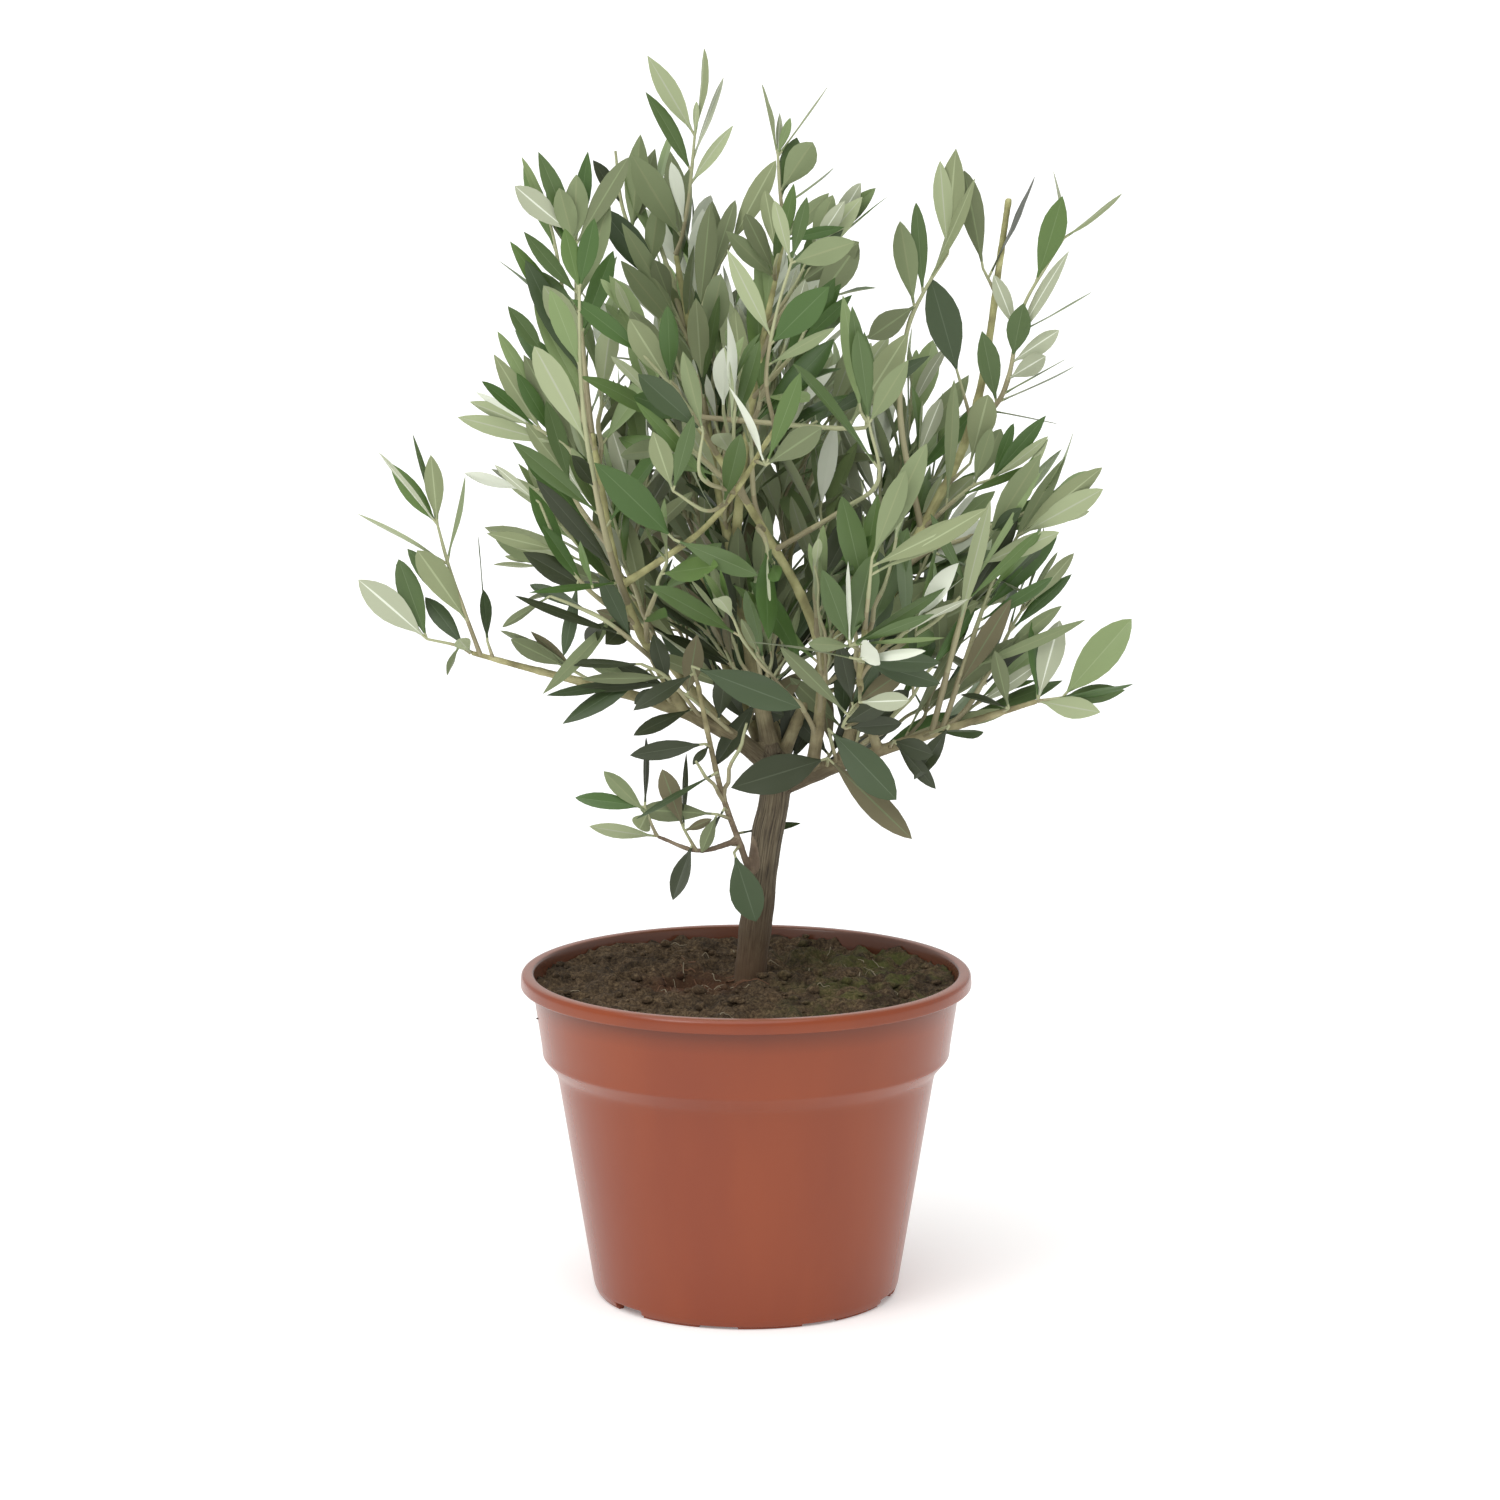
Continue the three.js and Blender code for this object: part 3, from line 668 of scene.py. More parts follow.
# Shoots that stand out are set one by one: the limb and the share of it where each leaves, the places it
# passes, and its leaves as (share of the shoot, the tip's x, y and z, width, turn, tone). At a turn of 0 a
# leaf shows its upper side to the front, at 90 its edge and at 180 its underside. The tone is for the side
# that shows.
setShoots = {
    "far_left_shoot": [
        ("left", 0.97, [(-118, -12, 297), (-123, -13, 313), (-127, -14, 329)], [
            (0.25, -135, -20, 320, 12, 178, 3), (0.28, -140, -6, 318, 8, 10, 3),
            (0.7, -159, -18, 336, 7, 112, 2), (0.72, -116, -18, 350, 7, 112, 4),
            (1, -147, -8, 354, 8, 20, 2), (1, -150, -20, 360, 5, 122, 1), (1, -129, -14, 358, 8, 176, 3),
            (1, -137, -6, 366, 6, 70, 2)]),
    ],
    "far_left_tip": [
        ("left", 1, [(-119, -11, 278), (-132, -12, 281)], [
            (1, -159, -18, 307, 13, 175, 1), (1, -144, -8, 314, 10, 5, 3), (0.1, -133, -4, 298, 8, 10, 5),
            (0.3, -124, -14, 266, 6, 115, 4), (0, -119, -20, 283, 7, 172, 2)]),
        ("left", 0.93, [(-107, -12, 280)], [(1, -108, -16, 302, 7, 50, 5), (1, -111, -8, 324, 4, 95, 5)]),
    ],
    "left_low": [
        ("left", 0.58, [(-74, -12, 269)], [
            (1, -97, -20, 282, 8, 178, 5), (0.5, -101, -16, 287, 7, 120, 5),
            (0.8, -89, -12, 285, 5, 160, 6)]),
        ("left", 0.36, [(-40, -16, 269)], [
            (1, -75, -30, 248, 9, 30, 5), (0.5, -64, -24, 271, 6, 150, 4), (0.8, -82, -30, 259, 7, 50, 5)]),
        ("left", 0.26, [(-32, -22, 266), (-43, -28, 273)], [
            (0.2, -46, -28, 245, 7, 35, 6), (1, -75, -36, 274, 5, 35, 6), (0.7, -68, -30, 267, 5, 170, 5),
            (0.6, -71, -24, 262, 5, 30, 6)]),
    ],
    "left_mid": [
        ("left_riser", 0.34, [(-64, -26, 303), (-75, -30, 318), (-84, -32, 340)], [
            (0.6, -88, -34, 347, 8, 12, 4), (0.7, -106, -34, 328, 6, 176, 3),
            (1, -103, -30, 355, 4, 150, 1), (0.5, -74, -34, 277, 6, 10, 5), (0.4, -90, -38, 321, 10, 10, 6),
            (0.45, -84, -36, 332, 7, 20, 4), (0.05, -58, -34, 281, 10, 8, 6)]),
        ("left_riser", 0.2, [(-56, -34, 291), (-70, -34, 298), (-80, -34, 302)], [
            (0.4, -95, -44, 302, 5, 30, 6), (1, -100, -36, 290, 4, 150, 5), (0.3, -59, -30, 310, 8, 8, 5),
            (0.7, -89, -20, 305, 6, 20, 5), (0.6, -66, -20, 281, 7, 5, 6)]),
        ("left_riser", 0.6, [(-76, -14, 342), (-90, -14, 343)], [
            (1, -116, -18, 350, 7, 130, 0), (1, -104, -12, 353, 6, 115, 1),
            (0.2, -94, -20, 362, 8, 20, 4)]),
    ],
    "left_high": [
        ("left_riser", 0.8, [(-73, -24, 362), (-80, -26, 367), (-87, -26, 371)], [
            (0.3, -90, -28, 400, 10, 176, 5), (0.9, -103, -26, 400, 8, 178, 3),
            (0.95, -107, -30, 390, 7, 45, 4), (1, -110, -26, 385, 7, 122, 0),
            (1, -113, -24, 380, 7, 145, 2), (0.6, -117, -28, 376, 8, 176, 2)]),
        ("left_riser", 0.6, [(-70, -20, 340), (-76, -22, 361), (-81, -24, 373)], [
            (1, -100, -26, 410, 6, 15, 1), (0.85, -93, -30, 393, 7, 20, 4), (0.6, -90, -26, 373, 7, 176, 3),
            (0.5, -80, -30, 382, 8, 10, 3)]),
        ("left_riser", 0.95, [(-72, -24, 385), (-82, -24, 400)], [(1, -97, -28, 420, 7, 10, 3)]),
    ],
    "left_top": [
        ("left_riser", 1, [(-66, -26, 400), (-68, -28, 425), (-70, -28, 449)], [
            (1, -94, -30, 468, 10, 172, 1), (1, -84, -26, 482, 8, 15, 3), (0.85, -80, -22, 471, 7, 30, 4),
            (0.95, -75, -32, 468, 9, 178, 4), (0.95, -68, -28, 473, 10, 178, 4),
            (0.93, -48, -24, 480, 9, 172, 5), (0.7, -91, -26, 449, 8, 30, 3),
            (0.45, -82, -38, 430, 11, 175, 2), (0.6, -90, -22, 436, 9, 20, 3),
            (0.5, -54, -34, 444, 9, 8, 4)]),
        ("left_riser", 0.94, [(-68, -22, 402), (-69, -22, 424), (-69, -22, 446)], [
            (1, -64, -20, 482, 7, 10, 4), (0.2, -86, -24, 420, 8, 10, 1), (0.5, -93, -30, 447, 8, 20, 2),
            (0.35, -89, -34, 438, 10, 10, 5), (0.9, -80, -20, 466, 8, 178, 5),
            (0.7, -54, -24, 462, 9, 176, 4)]),
    ],
    "leader_left": [
        ("leader", 0.82, [(-40, 18, 430), (-51, 22, 456), (-54, 22, 480)], [
            (0.75, -64, 20, 476, 7, 20, 6), (0.6, -44, 22, 487, 10, 178, 4), (0.3, -52, 14, 454, 9, 176, 3),
            (0.4, -36, 14, 458, 9, 168, 4), (0.62, -38, 28, 481, 10, 176, 5)]),
        ("leader", 0.8, [(-33, -2, 424)], [
            (1, -58, -14, 459, 12, 6, 5), (0.5, -51, -30, 456, 8, 178, 4), (0.8, -37, -20, 438, 8, 176, 5),
            (0.2, -54, -20, 441, 9, 176, 4)]),
        ("leader", 0.66, [(-20, -12, 405), (-16, -16, 425)], [
            (1, -5, -10, 462, 7, 176, 5), (0.8, -14, -18, 462, 9, 178, 5), (0.3, -20, -50, 426, 9, 178, 3),
            (0.2, -19, -40, 425, 7, 10, 5), (0.3, -12, -46, 422, 5, 12, 3),
            (0.5, -7, -44, 436, 12, 176, 4)]),
    ],
    "leader_top": [
        ("leader", 1, [(-26, 10, 447), (-23, 7, 466), (-21, 6, 487)], [
            (1, -40, 2, 520, 9, 170, 2), (0.7, -39, 4, 506, 8, 22, 3), (1, -14, 10, 522, 8, 111, 3),
            (1, -20, 6, 501, 3, 160, 2), (0.8, -10, 12, 511, 8, 115, 1), (0.6, -6, 4, 492, 8, 140, 2),
            (0.25, -30, 3, 477, 6, 162, 0), (0.15, -47, -4, 479, 13, 175, 4),
            (0.15, -31, 24, 480, 10, 178, 5)]),
        ("leader", 0.82, [(-14, 0, 428), (-7, -8, 442)], [
            (1, 12, -10, 478, 9, 175, 3), (0.4, -12, -8, 462, 12, 172, 5)]),
    ],
    "top_right": [
        ("top_right", 1, [(14, -10, 464), (13, -10, 480)], [
            (1, 6, -14, 509, 8, 104, 3), (1, 14, -10, 497, 3, 170, 1), (1, 18, -12, 495, 4, 20, 1),
            (0.98, 34, -6, 508, 7, 104, 3), (0.5, 27, -16, 486, 12, 178, 4), (0.4, 20, -6, 487, 9, 12, 3),
            (0.3, 37, -12, 474, 8, 102, 4)]),
        ("top_right", 0.85, [(12, -20, 437), (15, -22, 446)], [
            (0.2, 0, -26, 457, 8, 178, 5), (0.05, -9, -24, 451, 8, 176, 4), (0.7, 8, -16, 466, 7, 178, 3),
            (0.4, 14, -34, 456, 4, 12, 3), (0.9, 20, -24, 469, 6, 10, 2), (1, 34, -20, 465, 7, 178, 4),
            (1, 39, -40, 453, 5, 10, 4)]),
    ],
    "top_right_side": [
        ("top_right", 0.7, [(20, -22, 428), (26, -26, 441)], [
            (1, 35, -28, 465, 8, 176, 4), (1, 40, -32, 463, 7, 176, 1), (0.9, 47, -28, 464, 9, 178, 2),
            (0.8, 39, -38, 451, 6, 20, 5), (0.6, 46, -34, 446, 11, 178, 5)]),
        ("top_right", 0.5, [(20, -30, 402), (27, -34, 420)], [
            (0.4, 36, -46, 431, 11, 6, 4), (0.8, 38, -36, 430, 7, 8, 4), (0.7, 43, -44, 426, 6, 10, 4),
            (1, 46, -30, 445, 12, 178, 5)]),
    ],
    "right_top": [
        ("right_riser", 0.42, [(64, 6, 370), (66, 3, 405), (73, 2, 423), (83, 2, 439)], [
            (0.78, 63, 0, 453, 10, 178, 4), (0.84, 70, 4, 460, 7, 10, 3), (0.88, 95, -2, 470, 8, 125, 3),
            (1, 79, 0, 477, 8, 178, 2), (1, 85, 5, 482, 11, 178, 3), (0.8, 50, -6, 404, 11, 172, 5)]),
        ("right_riser", 0.62, [(88, 9, 388)], [(1, 76, 2, 429, 15, 5, 5)]),
        ("right_riser", 0.84, [(98, 12, 432)], [
            (1, 90, 10, 473, 10, 178, 5), (0.6, 120, 12, 470, 8, 76, 6)]),
    ],
    "far_right_top": [
        ("right_riser", 0.62,
         [(104, 12, 376), (109, 10, 388), (112, 9, 405), (116, 8, 420), (131, 8, 445)], [
            (0.75, 131, 4, 462, 11, 10, 2), (1, 156, 4, 462, 7, 116, 3), (1, 128, 12, 473, 5, 100, 1),
            (0.45, 131, 2, 441, 9, 125, 1), (0.38, 114, 4, 419, 10, 5, 3), (0.36, 128, 0, 408, 9, 148, 1),
            (0.28, 124, -2, 398, 9, 168, 1), (0.5, 144, 4, 422, 5, 98, 4), (0.2, 132, -2, 397, 5, 98, 4),
            (0.16, 137, 6, 391, 5, 99, 1), (0.1, 130, 10, 369, 5, 98, 5), (0.5, 103, 12, 430, 7, 160, 1),
            (0.15, 97, 6, 407, 10, 10, 3)]),
    ],
    "right_high": [
        ("right_riser", 0.5, [(93, 6, 352)], [(1, 100, 0, 381, 12, 178, 3)]),
        ("right_riser", 0.42, [(92, 0, 342), (101, -2, 346)], [
            (0.4, 87, -4, 388, 6, 178, 4), (1, 124, -8, 374, 7, 12, 4), (0.8, 106, 6, 367, 9, 176, 4),
            (1, 112, 4, 369, 5, 10, 4), (1, 126, -10, 364, 5, 160, 2), (0.8, 101, -4, 368, 7, 176, 4),
            (0.6, 121, -14, 354, 4, 20, 2)]),
    ],
    "right_mid": [
        ("right", 0.64, [(90, -7, 268), (98, -5, 292), (104, -6, 308), (112, -7, 323)], [
            (1, 147, -12, 353, 9, 178, 3), (1, 147, -16, 344, 10, 170, 2), (0.95, 132, -2, 356, 7, 178, 4),
            (0.7, 122, -16, 325, 7, 45, 2), (0.65, 123, -4, 319, 8, 50, 5), (0.55, 127, -16, 306, 8, 40, 4),
            (0.6, 130, -4, 324, 9, 15, 4), (0.3, 142, -16, 289, 5, 170, 4),
            (0.2, 110, -14, 298, 9, 175, 6)]),
        ("right", 0.6, [(91, -10, 297), (99, -12, 322), (109, -10, 339)], [
            (0.8, 121, -16, 359, 11, 178, 4), (1, 125, -10, 364, 4, 172, 2), (1, 122, -12, 359, 5, 12, 2),
            (0.6, 122, -24, 354, 3, 20, 1), (0.55, 121, -20, 327, 5, 20, 2),
            (0.45, 99, -24, 340, 7, 176, 2), (0.85, 113, -22, 337, 6, 8, 5), (0.6, 75, -20, 334, 5, 15, 3),
            (0.7, 129, -14, 326, 8, 176, 2), (0.5, 112, -2, 330, 7, 20, 6)]),
    ],
    "right_tip": [
        ("right", 1, [(131, -15, 257)], [
            (1, 159, -20, 290, 15, 3, 0), (0.2, 160, -22, 262, 7, 68, 4), (0, 146, -26, 252, 10, 165, 2),
            (0.9, 157, -14, 260, 8, 5, 3), (0, 129, -14, 289, 11, 178, 1), (0, 119, -8, 289, 8, 48, 4)]),
        ("right", 0.86, [(109, -13, 252)], [(1, 102, -18, 277, 7, 172, 5), (1, 89, -14, 259, 7, 60, 6)]),
    ],
    "right_under": [
        ("right", 0.3, [(48, -6, 246)], [
            (1, 68, -8, 258, 8, 15, 6), (0.5, 62, -6, 247, 7, 160, 6), (1, 56, -2, 266, 8, 10, 6)]),
        ("right", 0.56, [(84, -20, 246)], [(1, 70, -26, 224, 8, 8, 6), (0.5, 98, -24, 244, 7, 60, 5)]),
        ("right", 0.44, [(61, -22, 240)], [(1, 79, -26, 221, 7, 20, 6), (1, 77, -34, 236, 9, 20, 6)]),
    ],
    "right_hanging": [
        ("right", 0.2, [(34, -12, 231)], [(1, -6, -24, 220, 16, 4, 6), (1, 69, -24, 199, 11, 174, 6)]),
        ("right", 0.24, [(34, -22, 245)], [(1, 62, -36, 218, 15, 5, 5)]),
    ],
    "trunk_side": [
        ("low_riser", 0.2, [(-5, -12, 191)], [(1, 4, -19, 163, 14, 8, 5)]),
        ("low_riser", 0.2, [(-7, 3, 192), (-3, 10, 195)], [(1, 23, 11, 200, 7, 60, 5)]),
        ("low_riser", 0.34, [(-12, -16, 208)], [
            (1, -44, -14, 210, 9, 176, 5), (1, -19, -24, 193, 6, 160, 5)]),
        ("low_riser", 0.55, [(-12, -18, 226)], [(1, -46, -26, 208, 4, 55, 5)]),
    ],
    "low_left": [
        ("low_left", 1, [(-39, -16, 203), (-42, -16, 211)], [
            (1, -71, -18, 216, 7, 14, 4), (0.75, -59, -20, 227, 7, 175, 4), (0, -65, -22, 203, 7, 150, 2),
            (1, -41, -12, 240, 5, 60, 6), (0.8, -44, -24, 203, 9, 165, 3)]),
        ("low_left", 0.5, [(-26, -16, 202)], [
            (1, -35, -20, 228, 9, 172, 6), (1, -26, -10, 233, 4, 60, 6), (0.3, -31, -18, 172, 8, 12, 6),
            (0.9, -14, -16, 206, 4, 170, 6)]),
    ],
    "low_left_high": [
        ("low_riser", 0.7, [(-17, -18, 238)], [
            (1, -48, -22, 234, 8, 10, 6), (0.3, -22, -22, 230, 4, 20, 6)]),
        ("low_riser", 0.38, [(-9, -13, 210)], [(1, -19, -18, 192, 6, 55, 6)]),
    ],
    "lower_core": [
        ("right", 0.06, [(18, 8, 224)], [
            (1, 19, 12, 256, 9, 10, 6), (1, 35, 12, 257, 9, 12, 6), (1, 4, 12, 252, 9, 15, 6)]),
        ("right", 0.14, [(36, 8, 230), (40, 12, 240)], [
            (1, 18, 6, 262, 9, 176, 5), (0.6, 30, 14, 264, 8, 170, 6), (1, 42, 16, 268, 9, 10, 5),
            (1, 56, 12, 264, 9, 170, 6), (0.8, 66, 10, 252, 8, 12, 6), (0.5, 20, 10, 246, 9, 10, 6),
            (0.3, 62, 8, 240, 8, 30, 6), (0.5, 48, 4, 252, 8, 20, 6)]),
        ("left", 0.1, [(-22, -14, 256), (-32, -18, 262)], [
            (1, -46, -24, 256, 7, 12, 6), (1, -38, -20, 284, 8, 10, 6), (0.8, -20, -18, 284, 9, 170, 6),
            (0.4, -8, -18, 268, 9, 12, 6), (1, -54, -20, 272, 6, 30, 6)]),
        ("front_right", 0.25, [(40, -26, 246), (44, -32, 256)], [
            (0.6, 60, -38, 262, 9, 10, 6), (1, 66, -40, 274, 9, 165, 6), (1, 38, -40, 284, 9, 10, 6),
            (0.8, 56, -36, 280, 8, 30, 5), (0.4, 64, -30, 248, 8, 12, 6)]),
        ("leader", 0.12, [(0, 6, 240), (4, 8, 250)], [
            (0, -12, -12, 227, 9, 20, 6), (1, 12, 4, 274, 9, 10, 6), (0.7, 24, 8, 264, 9, 172, 6),
            (0.5, -14, 6, 264, 9, 8, 6), (1, -4, 8, 282, 9, 10, 5), (0.2, 16, 6, 246, 8, 10, 6)]),
    ],
    "front_low": [
        ("low_riser", 1, [(-22, -34, 273)], [(1, 22, -48, 258, 14, 6, 5), (0.6, -46, -40, 256, 8, 20, 6)]),
    ],
    "front_right_low": [
        ("front_right", 0.7, [(45, -60, 280)], [
            (0.85, 54, -74, 287, 12, 178, 0), (1, 72, -84, 287, 5, 150, 0), (0.6, 79, -56, 270, 9, 15, 5),
            (1, 79, -60, 278, 9, 10, 5), (1, 0, -60, 290, 6, 98, 5)]),
        ("front_right", 0.5, [(46, -58, 262)], [(1, 65, -78, 266, 8, 172, 1)]),
        ("front_right", 0.4, [(42, -44, 254)], [(1, 15, -66, 286, 7, 176, 5)]),
    ],
    "front_right": [
        ("front_right", 0.8, [(42, -62, 286)], [
            (1, 31, -82, 319, 10, 5, 3), (1, 49, -84, 322, 12, 8, 3), (1, 40, -90, 324, 6, 115, 0),
            (1, 80, -80, 311, 6, 40, 3), (1, 79, -86, 294, 4, 60, 1), (1, 75, -88, 303, 5, 20, 3),
            (0.8, 24, -76, 289, 6, 172, 4)]),
        ("front_right", 1, [(49, -80, 310), (50, -90, 325)], [
            (1, 63, -98, 361, 9, 178, 4), (1, 72, -92, 371, 11, 178, 4), (0.9, 90, -92, 342, 9, 160, 3),
            (0.8, 96, -96, 345, 8, 174, 3)]),
        ("centre", 0.55, [(40, -50, 340), (53, -70, 354), (49, -74, 377)], [
            (0.8, 21, -80, 403, 8, 58, 3), (1, 64, -82, 403, 9, 178, 4), (1, 45, -78, 415, 8, 6, 3),
            (1, 41, -76, 424, 7, 8, 3)]),
    ],
    "across": [
        ("across", 0.3, [(-29, -62, 329)], [(1, -59, -84, 363, 14, 4, 4), (1, 5, -70, 316, 9, 5, 3)]),
        ("across", 0.55, [(-16, -66, 341), (-29, -74, 350)], [
            (0.1, -1, -84, 375, 9, 5, 3), (1, -21, -84, 381, 7, 10, 3), (1, -37, -84, 375, 9, 178, 3)]),
        ("across", 0.6, [(-18, -76, 356), (-17, -78, 374)], [
            (0.4, -42, -84, 387, 6, 10, 2), (1, -25, -76, 406, 7, 176, 4), (1, -43, -80, 397, 11, 6, 5)]),
        ("across", 0.75, [(8, -72, 360)], [
            (1, -6, -90, 394, 8, 118, 0), (1, 22, -90, 399, 8, 8, 2), (1, 30, -88, 377, 11, 178, 5)]),
    ],
    "front_left": [
        ("left_riser", 0.42,
         [(-55, -40, 320), (-60, -62, 348), (-64, -70, 375), (-66, -70, 400), (-66, -70, 430)], [
            (0.6, -84, -76, 409, 12, 176, 2), (0.48, -69, -74, 364, 7, 15, 6),
            (0.8, -77, -74, 430, 9, 8, 1), (1, -72, -72, 454, 8, 12, 2), (1, -60, -70, 458, 8, 15, 4),
            (0.38, -92, -70, 369, 8, 8, 3), (0.15, -84, -56, 352, 8, 10, 6), (0.1, -87, -60, 308, 5, 50, 4),
            (0, -80, -50, 264, 7, 145, 4), (0.46, -70, -60, 366, 5, 170, 4)]),
    ],
    "front_crown": [
        ("centre", 0.9, [(44, -56, 373), (46, -60, 380)], [
            (1, 39, -56, 427, 8, 12, 1), (0.9, 48, -60, 412, 8, 10, 3), (0.8, 65, -62, 412, 11, 178, 3),
            (0.6, 74, -50, 402, 8, 10, 5)]),
        ("centre", 0.8, [(-20, -50, 376), (-30, -62, 391), (-40, -68, 403)], [
            (0.75, -46, -76, 419, 11, 178, 3), (0.75, -31, -72, 423, 8, 8, 4),
            (0.45, -44, -78, 388, 11, 5, 4), (1, -68, -70, 427, 8, 8, 4)]),
        ("across", 0.9, [(8, -74, 395), (12, -72, 420), (18, -66, 440)], [
            (0.55, -8, -76, 446, 8, 165, 2), (0.5, 33, -76, 432, 13, 6, 4), (0.38, 35, -80, 416, 6, 150, 4),
            (1, 11, -70, 465, 6, 172, 2), (1, 43, -72, 449, 11, 178, 4), (1, 24, -62, 466, 6, 10, 3)]),
    ],
}




def massPoints(name):
    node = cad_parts["foliage_" + name]
    places = np.array([v.co for v in node.data.vertices]) / mm
    return np.unique(np.round(places, 1), axis=0)


def crownSkin():
    # all the masses as one skin, to keep the leaves within the crown's true outline
    points, triangles = [], []
    for name in sprays:
        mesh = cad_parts["foliage_" + name].data
        first = len(points)
        points += [v.co / mm for v in mesh.vertices]
        triangles += [tuple(first + i for i in face.vertices) for face in mesh.polygons]
    return BVHTree.FromPolygons(points, triangles)


skin = crownSkin()


def inCrown(place, slack):
    if np.linalg.norm((place - np.array(heart["middle"])) / heart["radii"]) < 1:
        return True
    near, normal, index, away = skin.find_nearest(Vector(place))
    return away < slack or (Vector(place) - near).dot(normal) < 0


def pickHeads(rng, points, start, count):
    # the furthest point of the mass first, then others well apart over its outer part
    away = np.linalg.norm(points - start, axis=1)
    outer = points[away > 0.5 * away.max()]
    heads = [points[away.argmax()]]
    while len(heads) < count:
        spread = np.min([np.linalg.norm(outer - head, axis=1) for head in heads], axis=0)
        spread *= np.array([rng.uniform(0.7, 1) for _ in outer])
        heads.append(outer[spread.argmax()])
    return heads


def pickOrigin(rng, limb, at, shoots, head):
    # where a side shoot leaves: at a good distance below its head, bending as little as it can
    starts = habit["starts"]
    shares = np.linspace(max(0.08, at - starts["back"]), at, starts["onLimb"])
    places = [pointOn(limb, share) for share in shares]
    places += [pointOn(shoot, share) for shoot in shoots for share in starts["onShoot"]]
    costs = []
    for place, way, radius in places:
        line = head - place
        length = np.linalg.norm(line)
        stretched = abs(length - habit["reach"]) / 40
        bending = 1 - line @ way / length
        costs.append(stretched + bending - 0.6 * line[2] / length + rng.uniform(0, 0.3))
    best = int(np.argmin(costs))
    return places[best], (best - starts["onLimb"]) // len(starts["onShoot"])


def growShoot(rng, start, heading, head, base):
    # from its limb to its head, ending turned up to the light
    span = np.linalg.norm(head - start)
    rise = unit(unit(head - start) + np.array([0, 0, rng.uniform(*habit["rise"])]))
    a, b, c, d = start, start + unit(heading) * span * 0.3, head - rise * span * 0.32, head
    points = []
    for t in np.linspace(0, 1, 8):
        place = a * (1 - t) ** 3 + 3 * b * t * (1 - t) ** 2 + 3 * c * t**2 * (1 - t) + d * t**3
        wobble = np.array([rng.uniform(-1, 1) for _ in range(3)]) * min(1, 4 * t) * habit["wobble"]
        points.append(place + wobble)
    return finishShoot(points, base)


def finishShoot(points, base):
    return addFrames(smoothLine(points, np.linspace(base, habit["tip"], len(points)), step=3))


def clampTo(value, low, high):
    return min(high, max(low, value))


def pickTone(rng, tones, scale, tone):
    share = scale[0] + scale[1] * tone + rng.gauss(0, 0.16)
    return clampTo(round(share * (len(tones) - 1)), 0, len(tones) - 1)


def fromTip(values, pair):
    # a value of the habit for the pair that stands so many places below the tip
    return values[min(pair, len(values) - 1)]


def dressShoot(rng, shoot, spec, leaves):
    # pairs of leaves, each pair turned a quarter from the last, closer and smaller to the tip
    whole = left = shoot["run"][-1]
    turn = rng.uniform(0, math.pi)
    # painted light and shade: the spray's tone, from sunlit to shaded, picks paler or darker leaf colours
    upperTone = pickTone(rng, upperTones, habit["upper"], spec["tone"])
    underTone = pickTone(rng, underTones, habit["under"], spec["tone"])
    spread = habit["spread"]
    young, older, loss = habit["kept"]
    pair = 0
    while left > max(0.1 * whole, whole - habit["leafy"]):
        place, tangent, radius = pointOn(shoot, left / whole)
        i = min(int(np.searchsorted(shoot["run"], left)), len(shoot["run"]) - 1)
        for half in (0, 1):
            around = turn + half * math.pi + rng.gauss(0, spread["around"])
            if rng.random() > (young if pair < 4 else older - loss * (whole - left) / habit["leafy"]):
                continue
            outward = shoot["across"][i] * math.cos(around) + shoot["up"][i] * math.sin(around)
            leaf = growLeaf(rng, place, tangent, outward, radius, pair, spec)
            if leaf and not hides(leaf):
                # painted shade: the older leaves lower on a shoot, deep in the crown, take darker tones,
                # while the young ones at the tip are paler
                darker = fromTip(habit["darker"], pair)
                upper = clampTo(upperTone + darker + rng.choice((-1, 0, 0, 0, 1)), 0, len(upperTones) - 1)
                under = clampTo(underTone + darker + rng.choice((-1, 0, 0, 1)), 0, len(underTones) - 1)
                paintLeaf(leaf, upper, under, 0 if spec["tone"] < 0.5 else 1)
                leaves.append(leaf)
        left -= rng.uniform(*habit["node"]) * fromTip(habit["closer"], pair)
        turn += math.pi / 2 + rng.gauss(0, spread["turn"])
        pair += 1


def paintLeaf(leaf, upper, under, shoot):
    leaf["upper"], leaf["rib"] = upper, ribFirst + upper
    leaf["under"], leaf["underRib"] = underFirst + under, underFirst + max(0, under - 1)
    leaf["petiole"] = shootFirst + shoot


def growLeaf(rng, place, tangent, outward, radius, pair, spec):
    size = fromTip(habit["sizes"], pair)
    length = size * rng.uniform(*spec.get("length", habit["length"]))
    opening = math.radians(fromTip(habit["openings"], pair)) + rng.gauss(0, habit["spread"]["opening"])
    base = place + outward * radius * 0.6
    for tries in range(4):
        axis = tangent * math.cos(opening) + outward * math.sin(opening)
        axis = unit(axis + np.array([0, 0, habit["lift"] - habit["sag"] * spec["tone"] * rng.random()]))
        if inCrown(base + axis * length, habit["slack"]):
            break
        opening *= 0.6
        length *= 0.9
    else:
        return None
    normal = tangent * math.sin(opening) - outward * math.cos(opening)
    # the upper side turns a little up and out of the crown
    outside = unit(place - np.array([0, 0, place[2] - 20]))
    normal = unit(normal + habit["outwards"] * outside * rng.random())
    across = np.cross(normal, axis)
    roll = rng.gauss(0, habit["spread"]["roll"])
    slender = rng.uniform(*spec.get("slender", habit["slender"]))
    leaf = leafBlade(rng, base, axis, length, length * slender * (0.8 if size < 0.6 else 1))
    leaf["normal"] = normal * math.cos(roll) + across * math.sin(roll)
    return leaf


